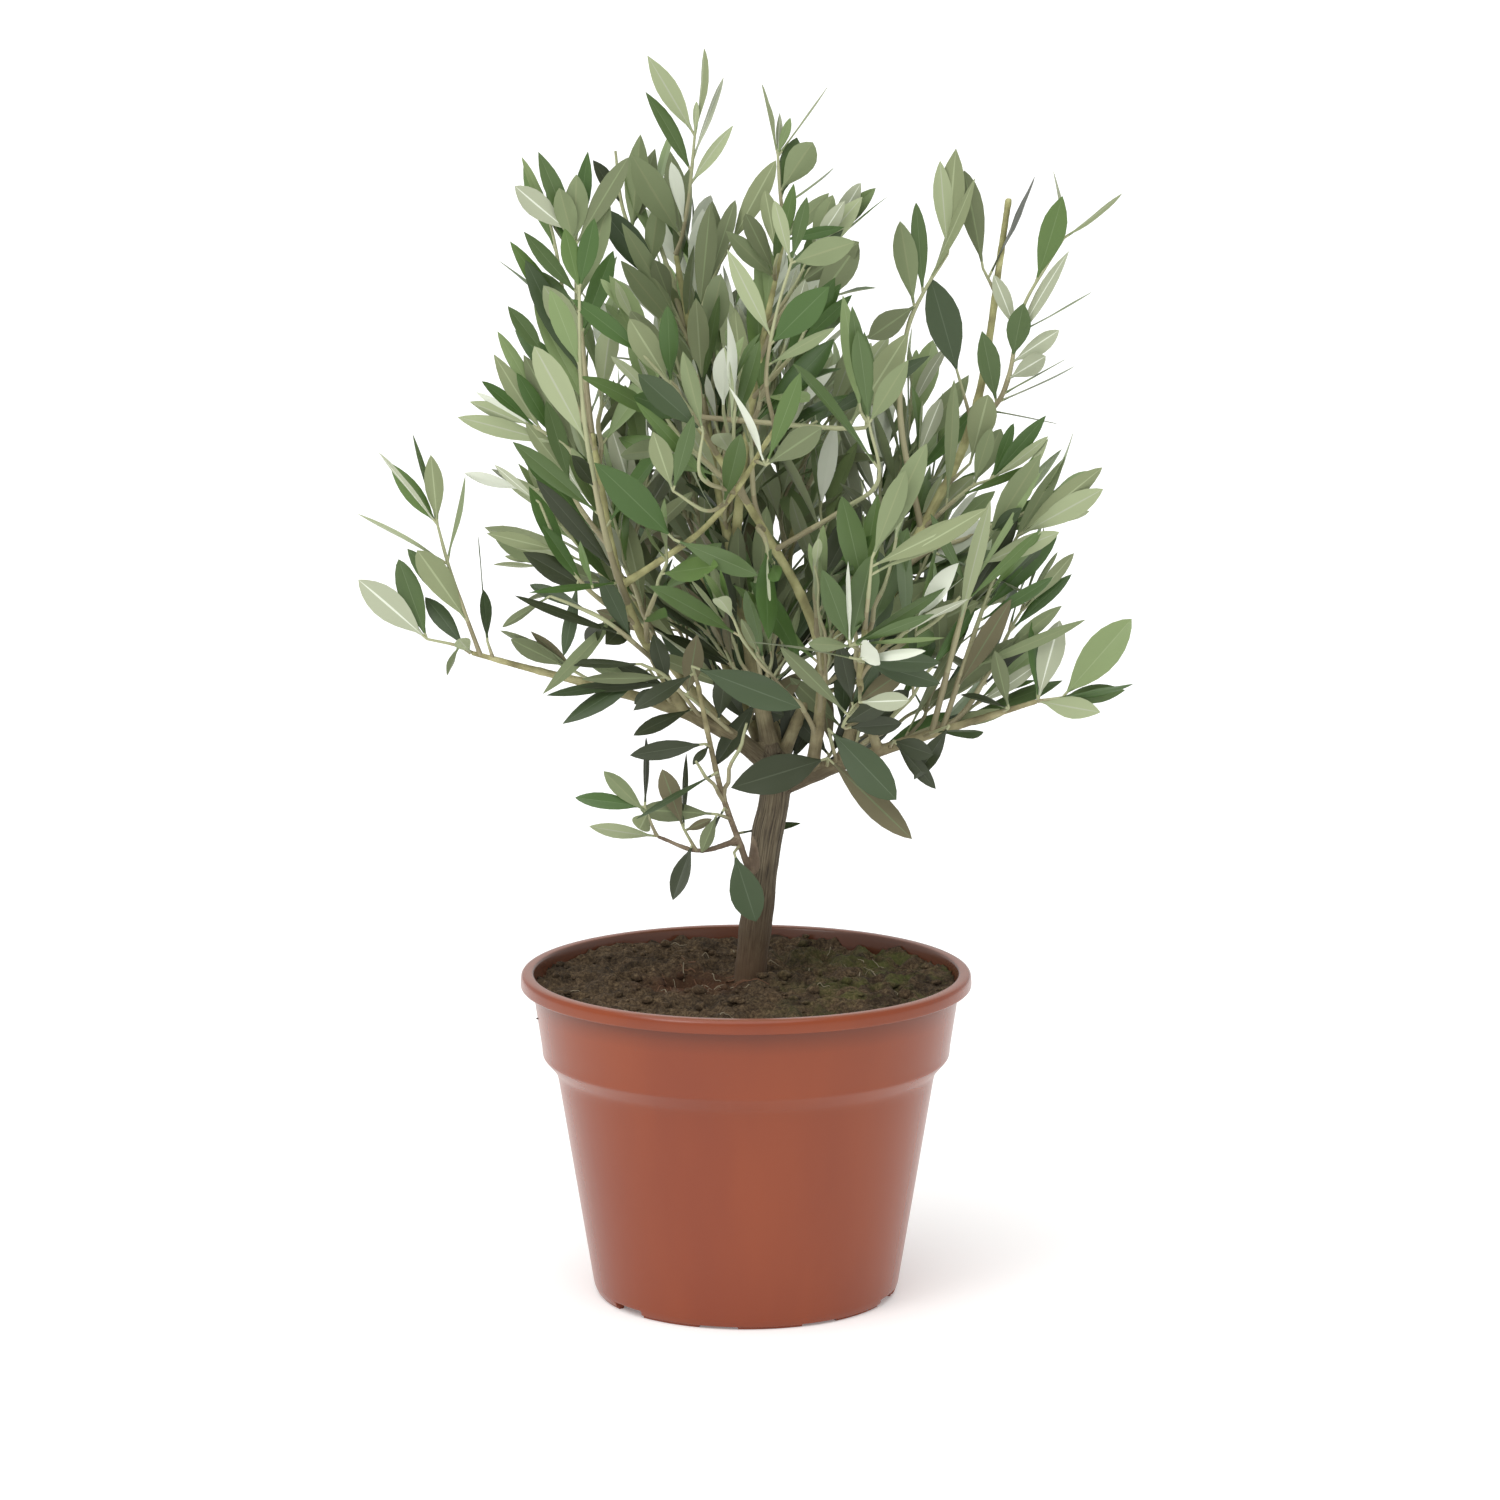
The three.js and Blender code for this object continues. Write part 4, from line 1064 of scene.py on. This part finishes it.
def leafBlade(rng, base, axis, length, width):
    # the lie of one blade, with the small bends and waves that leaves have
    return {
        "base": base,
        "axis": axis,
        "length": length,
        "width": width,
        "bend": rng.gauss(0.1, 0.25),
        "twist": rng.gauss(0, 0.3),
        "fold": rng.uniform(0.05, 0.4),
        "curl": rng.uniform(0, 0.16),
        "waves": rng.uniform(0.8, 2.2),
        "phase": rng.random(),
        "ruffle": rng.uniform(0, 0.09),
        "sickle": rng.gauss(0, 0.035),
        "footPower": rng.uniform(1.0, 1.45),
        "tipPower": rng.uniform(0.8, 1.1),
    }


toFront = np.array([0, -0.98, 0.17])  # from the crown's middle to the camera


def setLeaf(rng, shoot, row, spec):
    # a leaf from its place on a shoot to a tip set one by one
    share, *tip, width, turn, tone = row
    place, tangent, radius = pointOn(shoot, share)
    line = np.array(tip) - place
    leaf = leafBlade(rng, place, unit(line), np.linalg.norm(line), width)
    for key in ("bend", "twist", "sickle"):
        leaf[key] *= habit["calm"]
    facing = unit(toFront - leaf["axis"] * (toFront @ leaf["axis"]))
    across = np.cross(leaf["axis"], facing)
    turned = math.radians(turn)
    leaf["normal"] = facing * math.cos(turned) + across * math.sin(turned)
    if turn < 90:
        paintLeaf(leaf, tone, pickTone(rng, underTones, habit["setUnder"], spec["tone"]), 0)
    else:
        paintLeaf(leaf, pickTone(rng, upperTones, habit["setUpper"], spec["tone"]), tone, 0)
    return leaf


def startRadius(radius, length):
    # a shoot starts thinner than its limb, and a long one thicker than a short one
    return min(radius * 0.85, 0.75 + 0.006 * length)


def growSetShoots(rng, name, spec):
    leaves, shoots = [], []
    for limb, at, places, rows in setShoots.get(name, []):
        start, heading, radius = pointOn(limbs["bough_" + limb], at)
        line = np.vstack([start, places])
        shoot = finishShoot(line, startRadius(radius, np.linalg.norm(line[-1] - start)))
        shoots.append(shoot)
        leaves += [setLeaf(rng, shoot, row, spec) for row in rows]
    return leaves, shoots


def inSight(points):
    # how points lie before the camera, and how far off
    away = np.asarray(points) - camera["place"]
    return away[:, [0, 2]] / away[:, 1:2] * camera["reach"], away[:, 1]


def alongLeaf(leaf):
    return [leaf["base"] + leaf["axis"] * leaf["length"] * share for share in (0.2, 0.4, 0.6, 0.8)]


frontBoughs = ("across", "left_riser", "centre", "front_right", "low_riser")


def growAllSet():
    # they come first, so that what grows by the rule can leave them and the front boughs in sight
    grown, marks, girths = {}, [], []
    for index, (name, spec) in enumerate(sprays.items()):
        leaves, shoots = grown[name] = growSetShoots(random.Random(500 + index), name, spec)
        for leaf in leaves:
            marks += alongLeaf(leaf)
            girths += [0.35 * leaf["width"]] * 4
        for shoot in shoots:
            marks += list(shoot["line"])
            girths += list(shoot["radii"])
    for name in frontBoughs:
        marks += list(limbs["bough_" + name]["line"])
        girths += list(limbs["bough_" + name]["radii"])
    return grown, *inSight(marks), np.array(girths)


setGrown, keptSpots, keptAway, keptGirths = growAllSet()


def hides(leaf):
    # would it stand in front of a set leaf or a front bough?
    spots, away = inSight(alongLeaf(leaf))
    gaps = np.linalg.norm(spots[:, None] - keptSpots[None], axis=2)
    return ((gaps < keptGirths + 0.3 * leaf["width"]) & (away[:, None] < keptAway)).any()


def growSpray(name, spec, seed):
    leaves, shoots, kept = [], [], set()
    if "shoots" in spec:
        rng = random.Random(seed)
        limb = limbs["bough_" + spec["limb"]]
        start, heading, radius = pointOn(limb, spec["at"])
        inset = 0.6 * np.mean(habit["length"])
        for head in pickHeads(rng, massPoints(name), start, spec["shoots"]):
            if shoots:
                (start, heading, radius), parent = pickOrigin(rng, limb, spec["at"], shoots, head)
                if parent >= 0:
                    kept.add(parent)
            length = np.linalg.norm(head - start)
            end = head - unit(head - start) * min(inset, 0.4 * length)
            heading = unit(heading + 0.7 * unit(end - start))
            shoots.append(growShoot(rng, start, heading, end, startRadius(radius, length)))
            already = len(leaves)
            dressShoot(rng, shoots[-1], spec, leaves)
            if len(leaves) > already + 1:
                kept.add(len(shoots) - 1)
    # a bare shoot is dropped, unless another grows on it
    return leaves + setGrown[name][0], [shoots[i] for i in sorted(kept)] + setGrown[name][1]


def addTwig(shoot, vertices, faces, picks):
    # old and woody at its start, green at its tip, with a ring at each node
    sides = 7
    swell = 1 + 0.16 * np.cos(shoot["run"] * 0.9) ** 8
    points, shape = tube(shoot, sides, shoot["radii"] * swell)
    join(vertices, faces, points, shape)
    rings = len(shape) // sides
    woody = [2 if i < rings * 0.25 else 1 if i < rings * 0.5 else 0 for i in range(rings)]
    picks += [w for w in woody for _ in range(sides)] + [woody[0], woody[-1]]


def makeSprays():
    twigVertices, twigFaces, twigPicks, count = [], [], [], 0
    for index, (name, spec) in enumerate(sprays.items()):
        leaves, shoots = growSpray(name, spec, 100 + index)
        count += len(leaves)
        piece = makeLeaves("leaves_" + name, leaves)
        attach(piece, "root")
        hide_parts("foliage_" + name)
        for shoot in shoots:
            addTwig(shoot, twigVertices, twigFaces, twigPicks)
    twigs = makePiece("twigs", twigVertices, twigFaces, leafFinishes[shootFirst:], twigPicks)
    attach(twigs, "root")
    print("sprays made:", count, "leaves,", len(twigFaces), "twig faces")


makeSprays()

pot = {
    "rim": 95, "height": 138.3, "lipDepth": 6, "wallTop": 90.6,
    "collarFoot": (85.2, 101), "bodyHead": (79.6, 96.4), "bodyFoot": 64.2,
    "ring": 62.6, "ringHeight": 1.1, "floor": 3.8, "wall": 1.6,
    "notches": 9, "firstNotch": -140.6, "notchWidth": 15, "shallow": 1.1, "deep": 3.4,
    "notchEdge": 0.15,  # degrees on either side of a notch's side, which keep it upright
}


def rounded(corners, steps=5):
    # an outline of (radius, height, rounding) corners, each rounded by a small arc
    outline = []
    for i, (r, z, soft) in enumerate(corners):
        here = np.array([r, z], float)
        if soft == 0 or i in (0, len(corners) - 1):
            outline.append(here)
            continue
        before = np.array(corners[i - 1][:2], float)
        after = np.array(corners[i + 1][:2], float)
        enter = here + unit(before - here) * min(soft, 0.45 * np.linalg.norm(before - here))
        leave = here + unit(after - here) * min(soft, 0.45 * np.linalg.norm(after - here))
        for t in np.linspace(0, 1, steps):
            outline.append(enter * (1 - t) ** 2 + 2 * here * t * (1 - t) + leave * t**2)
    return np.array(outline)


def potOutline():
    p, wall = pot, pot["wall"]
    lipIn = p["rim"] - wall
    foot, head = p["collarFoot"], p["bodyHead"]
    return rounded([
        (0, p["floor"] + wall, 0),
        (p["bodyFoot"] - wall - 1, p["floor"] + wall, 3),
        (head[0] - wall, head[1] + wall, 2.5),
        (foot[0] - wall, foot[1] + wall, 2.5),
        (p["wallTop"] - wall, p["height"] - 2.2, 1),
        (p["wallTop"] - wall + 0.6, p["height"], 1.4),
        (p["rim"] - 0.3, p["height"], 2.4),
        (p["rim"], p["height"] - p["lipDepth"], 1.2),
        (lipIn, p["height"] - p["lipDepth"], 0.5),
        (lipIn - 0.3, p["height"] - wall, 0.5),
        (p["wallTop"], p["height"] - wall, 0.8),
        (foot[0] + 0.9, foot[1] + 5.5, 3),
        (foot[0] + 0.7, foot[1] + 2.2, 1),
        (foot[0], foot[1] + 1.2, 1.2),
        (head[0] + 0.9, head[1] + 0.4, 1.6),
        (head[0] - 0.2, head[1] - 3, 2.2),
        (p["bodyFoot"] + 0.5, p["ringHeight"] + 2.6, 1.2),
        (p["bodyFoot"] - 0.6, p["ringHeight"], 0.6),
        (p["ring"], p["ringHeight"], 0.3),
        (p["ring"], 0, 0.4),
        (p["ring"] - 2.4, 0, 0.4),
        (p["ring"] - 2.4, p["floor"], 0.5),
        (0, p["floor"], 0),
    ])


def potColumns():
    # even columns, with close pairs at each notch's two sides, and how far up the notches cut each
    half, edge = pot["notchWidth"] / 2, pot["notchEdge"]
    middles = [(pot["firstNotch"] + i * 360 / pot["notches"]) % 360 for i in range(pot["notches"])]
    angles = set(np.arange(0, 360, 2.0))
    for middle in middles:
        angles |= {(middle + side + turn) % 360 for side in (-half, half) for turn in (-edge, edge)}
    columns = []
    for angle in sorted(angles):
        cut = 0
        for i, middle in enumerate(middles):
            if abs((angle - middle + 180) % 360 - 180) < half:
                cut = pot["shallow"] if i % 3 else pot["deep"]
        columns.append((math.radians(angle), cut))
    return columns


def makePot():
    vertices = []
    outline, columns = potOutline()[1:-1], potColumns()
    for r, z in outline:
        for angle, cut in columns:
            onFoot = r > pot["ring"] - 3
            vertices.append((r * math.cos(angle), r * math.sin(angle), max(z, cut) if onFoot else z))
    n = len(columns)
    faces = ringFaces(len(outline), n, inward=True)
    faces += [tuple(range(n)), tuple(range(len(vertices) - n, len(vertices)))[::-1]]
    return makePiece("nursery_pot", vertices, faces, [potMaterial()], sharpAbove=50)


def potMaterial():
    # injection-moulded polypropylene: a satin skin with faint flow marks and a little dried dirt, with
    # painted shade under the lip and a painted highlight on the faces that look up
    material, tree, shader = newMaterial("injection-moulded polypropylene", "#8b401c", 0.26, IOR=1.49)
    places = addNode(tree, "TexCoord").outputs["Object"]
    flow = addNode(tree, "Mapping", {"Vector": places, "Scale": (1, 1, 0.25)})
    clouds = addNode(tree, "TexNoise", {"Vector": flow, "Scale": 22, "Detail": 3})
    cloudy = addNode(tree, "MapRange", {"Value": clouds, "From Min": 0.25, "From Max": 0.75},
                     interpolation_type="SMOOTHSTEP")
    tone = addNode(tree, "MixRGB", {"Fac": cloudy, "Color1": "#7e3414", "Color2": "#883b15"})
    dust = addNode(tree, "TexNoise", {"Vector": places, "Scale": 260, "Detail": 5, "Roughness": 0.7})
    specks = addNode(tree, "ValToRGB", {"Fac": dust}, [(0.66, 0), (0.74, 1)])
    height = addNode(tree, "SeparateXYZ", {"Vector": places}).outputs["Z"]
    dirty = addNode(tree, "MapRange", {"Value": height, "From Min": 0.1, "From Max": 0.136, "To Min": 0.12,
                                       "To Max": 0.5})
    soiled = addNode(tree, "Math", {0: specks, 1: dirty}, operation="MULTIPLY")
    # painted shade: the collar darkens up to just under the lip, where the lip shades it, and from the lip up
    # it stays a little darker
    upper = addNode(tree, "MapRange", {"Value": height, "From Min": 0.12, "From Max": 0.14})
    shadeUnderLip = addNode(tree, "ValToRGB", {"Fac": upper}, [(0.1, 0), (0.58, 0.46), (0.61, 0.13)])
    # the inside is stained by the compost
    facing = addNode(tree, "NewGeometry").outputs["Normal"]
    sideways = addNode(tree, "VectorMath", {0: places, 1: (1, 1, 0)}, operation="MULTIPLY")
    inwards = addNode(tree, "VectorMath", {0: facing, 1: sideways}, operation="DOT_PRODUCT")
    inside = addNode(tree, "MapRange", {"Value": inwards.outputs["Value"], "From Min": -0.01,
                                        "From Max": -0.06, "To Min": 0, "To Max": 0.6})
    # painted highlight: the faces that look up, mostly the rim's top, are made paler
    upwards = addNode(tree, "SeparateXYZ", {"Vector": facing}).outputs["Z"]
    paintedHighlightUp = addNode(tree, "MapRange", {"Value": upwards, "From Min": 0.7, "From Max": 1, "To Min": 0,
                                        "To Max": 0.3})
    for amount, tint in ((soiled, "#6b4433"), (shadeUnderLip, "#4f2413"), (inside, "#4a3c30"), (paintedHighlightUp, "#b08a7a")):
        tone = addNode(tree, "MixRGB", {"Fac": amount, "Color1": tone, "Color2": tint})
    tree.links.new(tone.outputs[0], shader.inputs["Base Color"])
    orange = addNode(tree, "TexNoise", {"Vector": places, "Scale": 900, "Detail": 1})
    addNode(tree, "Bump", {"Height": orange, "Strength": 0.05, "Distance": 0.3 * mm},
            to=shader.inputs["Normal"])
    return material


potPiece = makePot()
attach(potPiece, "root")
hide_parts("pot")
print("pot made")

soil = {
    "middle": 132.4, "edge": 130.4, "padRadius": 13, "slope": 60,
    "radius": 88.4, "rings": 120, "columns": 400, "under": 118,
    "hollow": {"x": -22, "y": -4, "wide": 17, "long": 20, "deep": 4.5},  # scooped out left of the trunk
    # each kind of relief: its height and how tight it is
    "lumps": ((2.6, 0.055), (2.0, 0.13)), "clods": (3.6, 0.1), "fine": ((0.8, 0.45), (0.4, 1.4)),
    "crumbs": 420, "crumbSize": (0.6, 3.4), "fibres": 60, "splashes": 14,
}


def soilHeight(x, y):
    def rough(height, tight, seed):
        return height * noise.noise(Vector((x * tight, y * tight, seed)))

    away = math.hypot(x - trunkFoot[0], y - trunkFoot[1])
    share = min(1, max(0, (away - soil["padRadius"]) / soil["slope"]))
    height = soil["middle"] + (soil["edge"] - soil["middle"]) * share
    height += 0.9 * math.sin(x * 0.09 + 1) * math.cos(y * 0.11) + 0.6 * math.sin(x * 0.05 - y * 0.13)
    dip = soil["hollow"]
    hollow = math.exp(-(((x - dip["x"]) / dip["wide"]) ** 2 + ((y - dip["y"]) / dip["long"]) ** 2))
    (low, lowTight), (high, highTight) = soil["lumps"]
    lumps = rough(low, lowTight, 3) + rough(high, highTight, 7)
    clods = soil["clods"][0] * (1 - 2 * abs(rough(1, soil["clods"][1], 1)))
    (coarse, coarseTight), (small, smallTight) = soil["fine"]
    fine = rough(coarse, coarseTight, 5) + rough(small, smallTight, 9)
    return height - dip["deep"] * hollow + (lumps + clods) * min(1, away / 12) + fine


def makeSoil():
    rings, n = soil["rings"], soil["columns"]
    vertices = [(0, 0, soilHeight(0, 0))]
    for ring in range(1, rings + 1):
        r = soil["radius"] * ring / rings
        for column in range(n):
            angle = 2 * math.pi * column / n
            x, y = r * math.cos(angle), r * math.sin(angle)
            vertices.append((x, y, soilHeight(x, y)))
    # a skirt and a floor close it, well under the surface
    vertices += [(x * 0.97, y * 0.97, soil["under"]) for x, y, z in vertices[-n:]]
    faces = [(0, 1 + column, 1 + (column + 1) % n) for column in range(n)]
    faces += ringFaces(rings + 1, n, first=1, inward=True)
    faces.append(tuple(range(len(vertices) - n, len(vertices)))[::-1])
    return makePiece("compost_surface", vertices, faces, [soilMaterial()], sharpAbove=180)


def soilMaterial():
    # peaty potting compost: dark and matt, drier and greyer on the lumps, a mossy bloom on the right
    material, tree, shader = newMaterial("potting compost", "#3f3123", 0.95, **{"Specular IOR Level": 0.25})
    places = addNode(tree, "TexCoord").outputs["Object"]
    grains = addNode(tree, "TexNoise", {"Vector": places, "Scale": 700, "Detail": 6, "Roughness": 0.75})
    clods = addNode(tree, "TexNoise", {"Vector": places, "Scale": 60, "Detail": 4})
    tone = addNode(tree, "ValToRGB", {"Fac": grains},
                   [(0.3, "#2a2016"), (0.48, "#4b3c2b"), (0.6, "#6a5943"), (0.75, "#8c7b5b")])
    shade = addNode(tree, "ValToRGB", {"Fac": clods}, [(0.38, 0.4), (0.56, 1)])
    mixed = addNode(tree, "MixRGB", {"Fac": 0.8, "Color1": tone, "Color2": shade}, blend_type="MULTIPLY")
    # rusty, rooty peat shows in the hollow left of the trunk
    reach = addNode(tree, "VectorMath", {0: places, 1: (-0.022, -0.006, 0.13)}, operation="DISTANCE")
    inHollow = addNode(tree, "MapRange", {"Value": reach.outputs["Value"], "From Min": 0.01,
                                          "From Max": 0.03, "To Min": 0.75, "To Max": 0})
    rusty = addNode(tree, "MixRGB", {"Fac": inHollow, "Color1": mixed, "Color2": "#4d2f1e"})
    across = addNode(tree, "SeparateXYZ", {"Vector": places}).outputs["X"]
    rightwards = addNode(tree, "MapRange", {"Value": across, "From Min": 0, "From Max": 0.06})
    patches = addNode(tree, "TexNoise", {"Vector": places, "Scale": 45, "Detail": 5, "Roughness": 0.65})
    moss = addNode(tree, "ValToRGB", {"Fac": patches}, [(0.46, 0), (0.6, 0.6)])
    amount = addNode(tree, "Math", {0: moss, 1: rightwards}, operation="MULTIPLY")
    addNode(tree, "MixRGB", {"Fac": amount, "Color1": rusty, "Color2": "#56602c"},
            to=shader.inputs["Base Color"])
    addNode(tree, "Bump", {"Height": grains, "Strength": 0.8, "Distance": 1.2 * mm},
            to=shader.inputs["Normal"])
    return material


def crumbShape(rng, place, size):
    # a small knobbly lump, or a flatter chip
    vertices = []
    flat = rng.uniform(0.45, 0.9)
    turn = rng.uniform(0, math.pi)
    golden = math.pi * (3 - math.sqrt(5))
    count = 14
    for i in range(count):
        z = 1 - 2 * (i + 0.5) / count
        r = math.sqrt(1 - z * z)
        push = size * rng.uniform(0.7, 1.15)
        x, y = r * math.cos(golden * i + turn) * push, r * math.sin(golden * i + turn) * push * 0.8
        vertices.append((place[0] + x, place[1] + y, place[2] + z * push * flat))
    return vertices


def addCrumb(build, points):
    corners = [build.verts.new(Vector(p) * mm) for p in points]
    hull = bmesh.ops.convex_hull(build, input=corners)
    bmesh.ops.delete(build, geom=hull["geom_interior"], context="VERTS")


def makeCrumbs():
    rng = random.Random(11)
    build = bmesh.new()
    for _ in range(soil["crumbs"]):
        r = (soil["radius"] - 3) * math.sqrt(rng.random())
        angle = rng.uniform(0, 2 * math.pi)
        x, y = r * math.cos(angle), r * math.sin(angle)
        if math.hypot(x - trunkFoot[0], y - trunkFoot[1]) < 9:
            continue
        size = soil["crumbSize"][0] + soil["crumbSize"][1] * rng.random() ** 4  # most of them are small
        addCrumb(build, crumbShape(rng, (x, y, soilHeight(x, y) + size * 0.2), size))
    for _ in range(soil["splashes"]):
        # a few specks stick to the pot, most of them under its lip
        share = rng.random() ** 3
        r, z = pot["wallTop"] - 0.6 - 3.6 * share, pot["height"] - pot["lipDepth"] - 0.8 - 24 * share
        angle = rng.uniform(0, 2 * math.pi)
        place = (r * math.cos(angle), r * math.sin(angle), z)
        addCrumb(build, crumbShape(rng, place, rng.uniform(0.4, 0.9)))
    mesh = bpy.data.meshes.new("compost_crumbs")
    build.to_mesh(mesh)
    build.free()
    mesh.shade_smooth()
    mesh.materials.append(bpy.data.materials["potting compost"])
    return addObject("compost_crumbs", mesh)


def makeFibres():
    # pale and rusty rootlets round the trunk's foot, and a few all over
    rng = random.Random(5)
    vertices, faces, picks = [], [], []
    for i in range(soil["fibres"]):
        near = i < soil["fibres"] * 0.45
        if near:
            x, y = rng.gauss(-14, 11), rng.gauss(-2, 10)
        else:
            r, angle = 80 * math.sqrt(rng.random()), rng.uniform(0, 2 * math.pi)
            x, y = r * math.cos(angle), r * math.sin(angle)
        way = rng.uniform(0, 2 * math.pi)
        long = rng.uniform(5, 17) if near else rng.uniform(3, 10)
        points = []
        for k in range(6):
            points.append((x, y, soilHeight(x, y) + rng.uniform(0.1, 1.1)))
            way += rng.gauss(0, 0.3)
            x, y = x + math.cos(way) * long / 5, y + math.sin(way) * long / 5
        if any(math.hypot(p[0], p[1]) > soil["radius"] - 3 for p in points):
            continue
        stem = addFrames(smoothLine(points, np.linspace(0.26, 0.12, 6), step=1))
        points, shape = tube(stem, 5)
        join(vertices, faces, points, shape)
        picks += [0 if near and rng.random() < 0.7 else 1] * len(shape)
    finishes = [newMaterial(f"rootlet, {kind}", color, 0.8)[0]
                for kind, color in (("rusty", "#6b4a33"), ("dry", "#857a64"))]
    return makePiece("compost_fibres", vertices, faces, finishes, picks)


soilPiece = makeSoil()
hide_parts("compost")
for piece in (soilPiece, makeCrumbs(), makeFibres()):
    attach(piece, "root")
print("compost made")
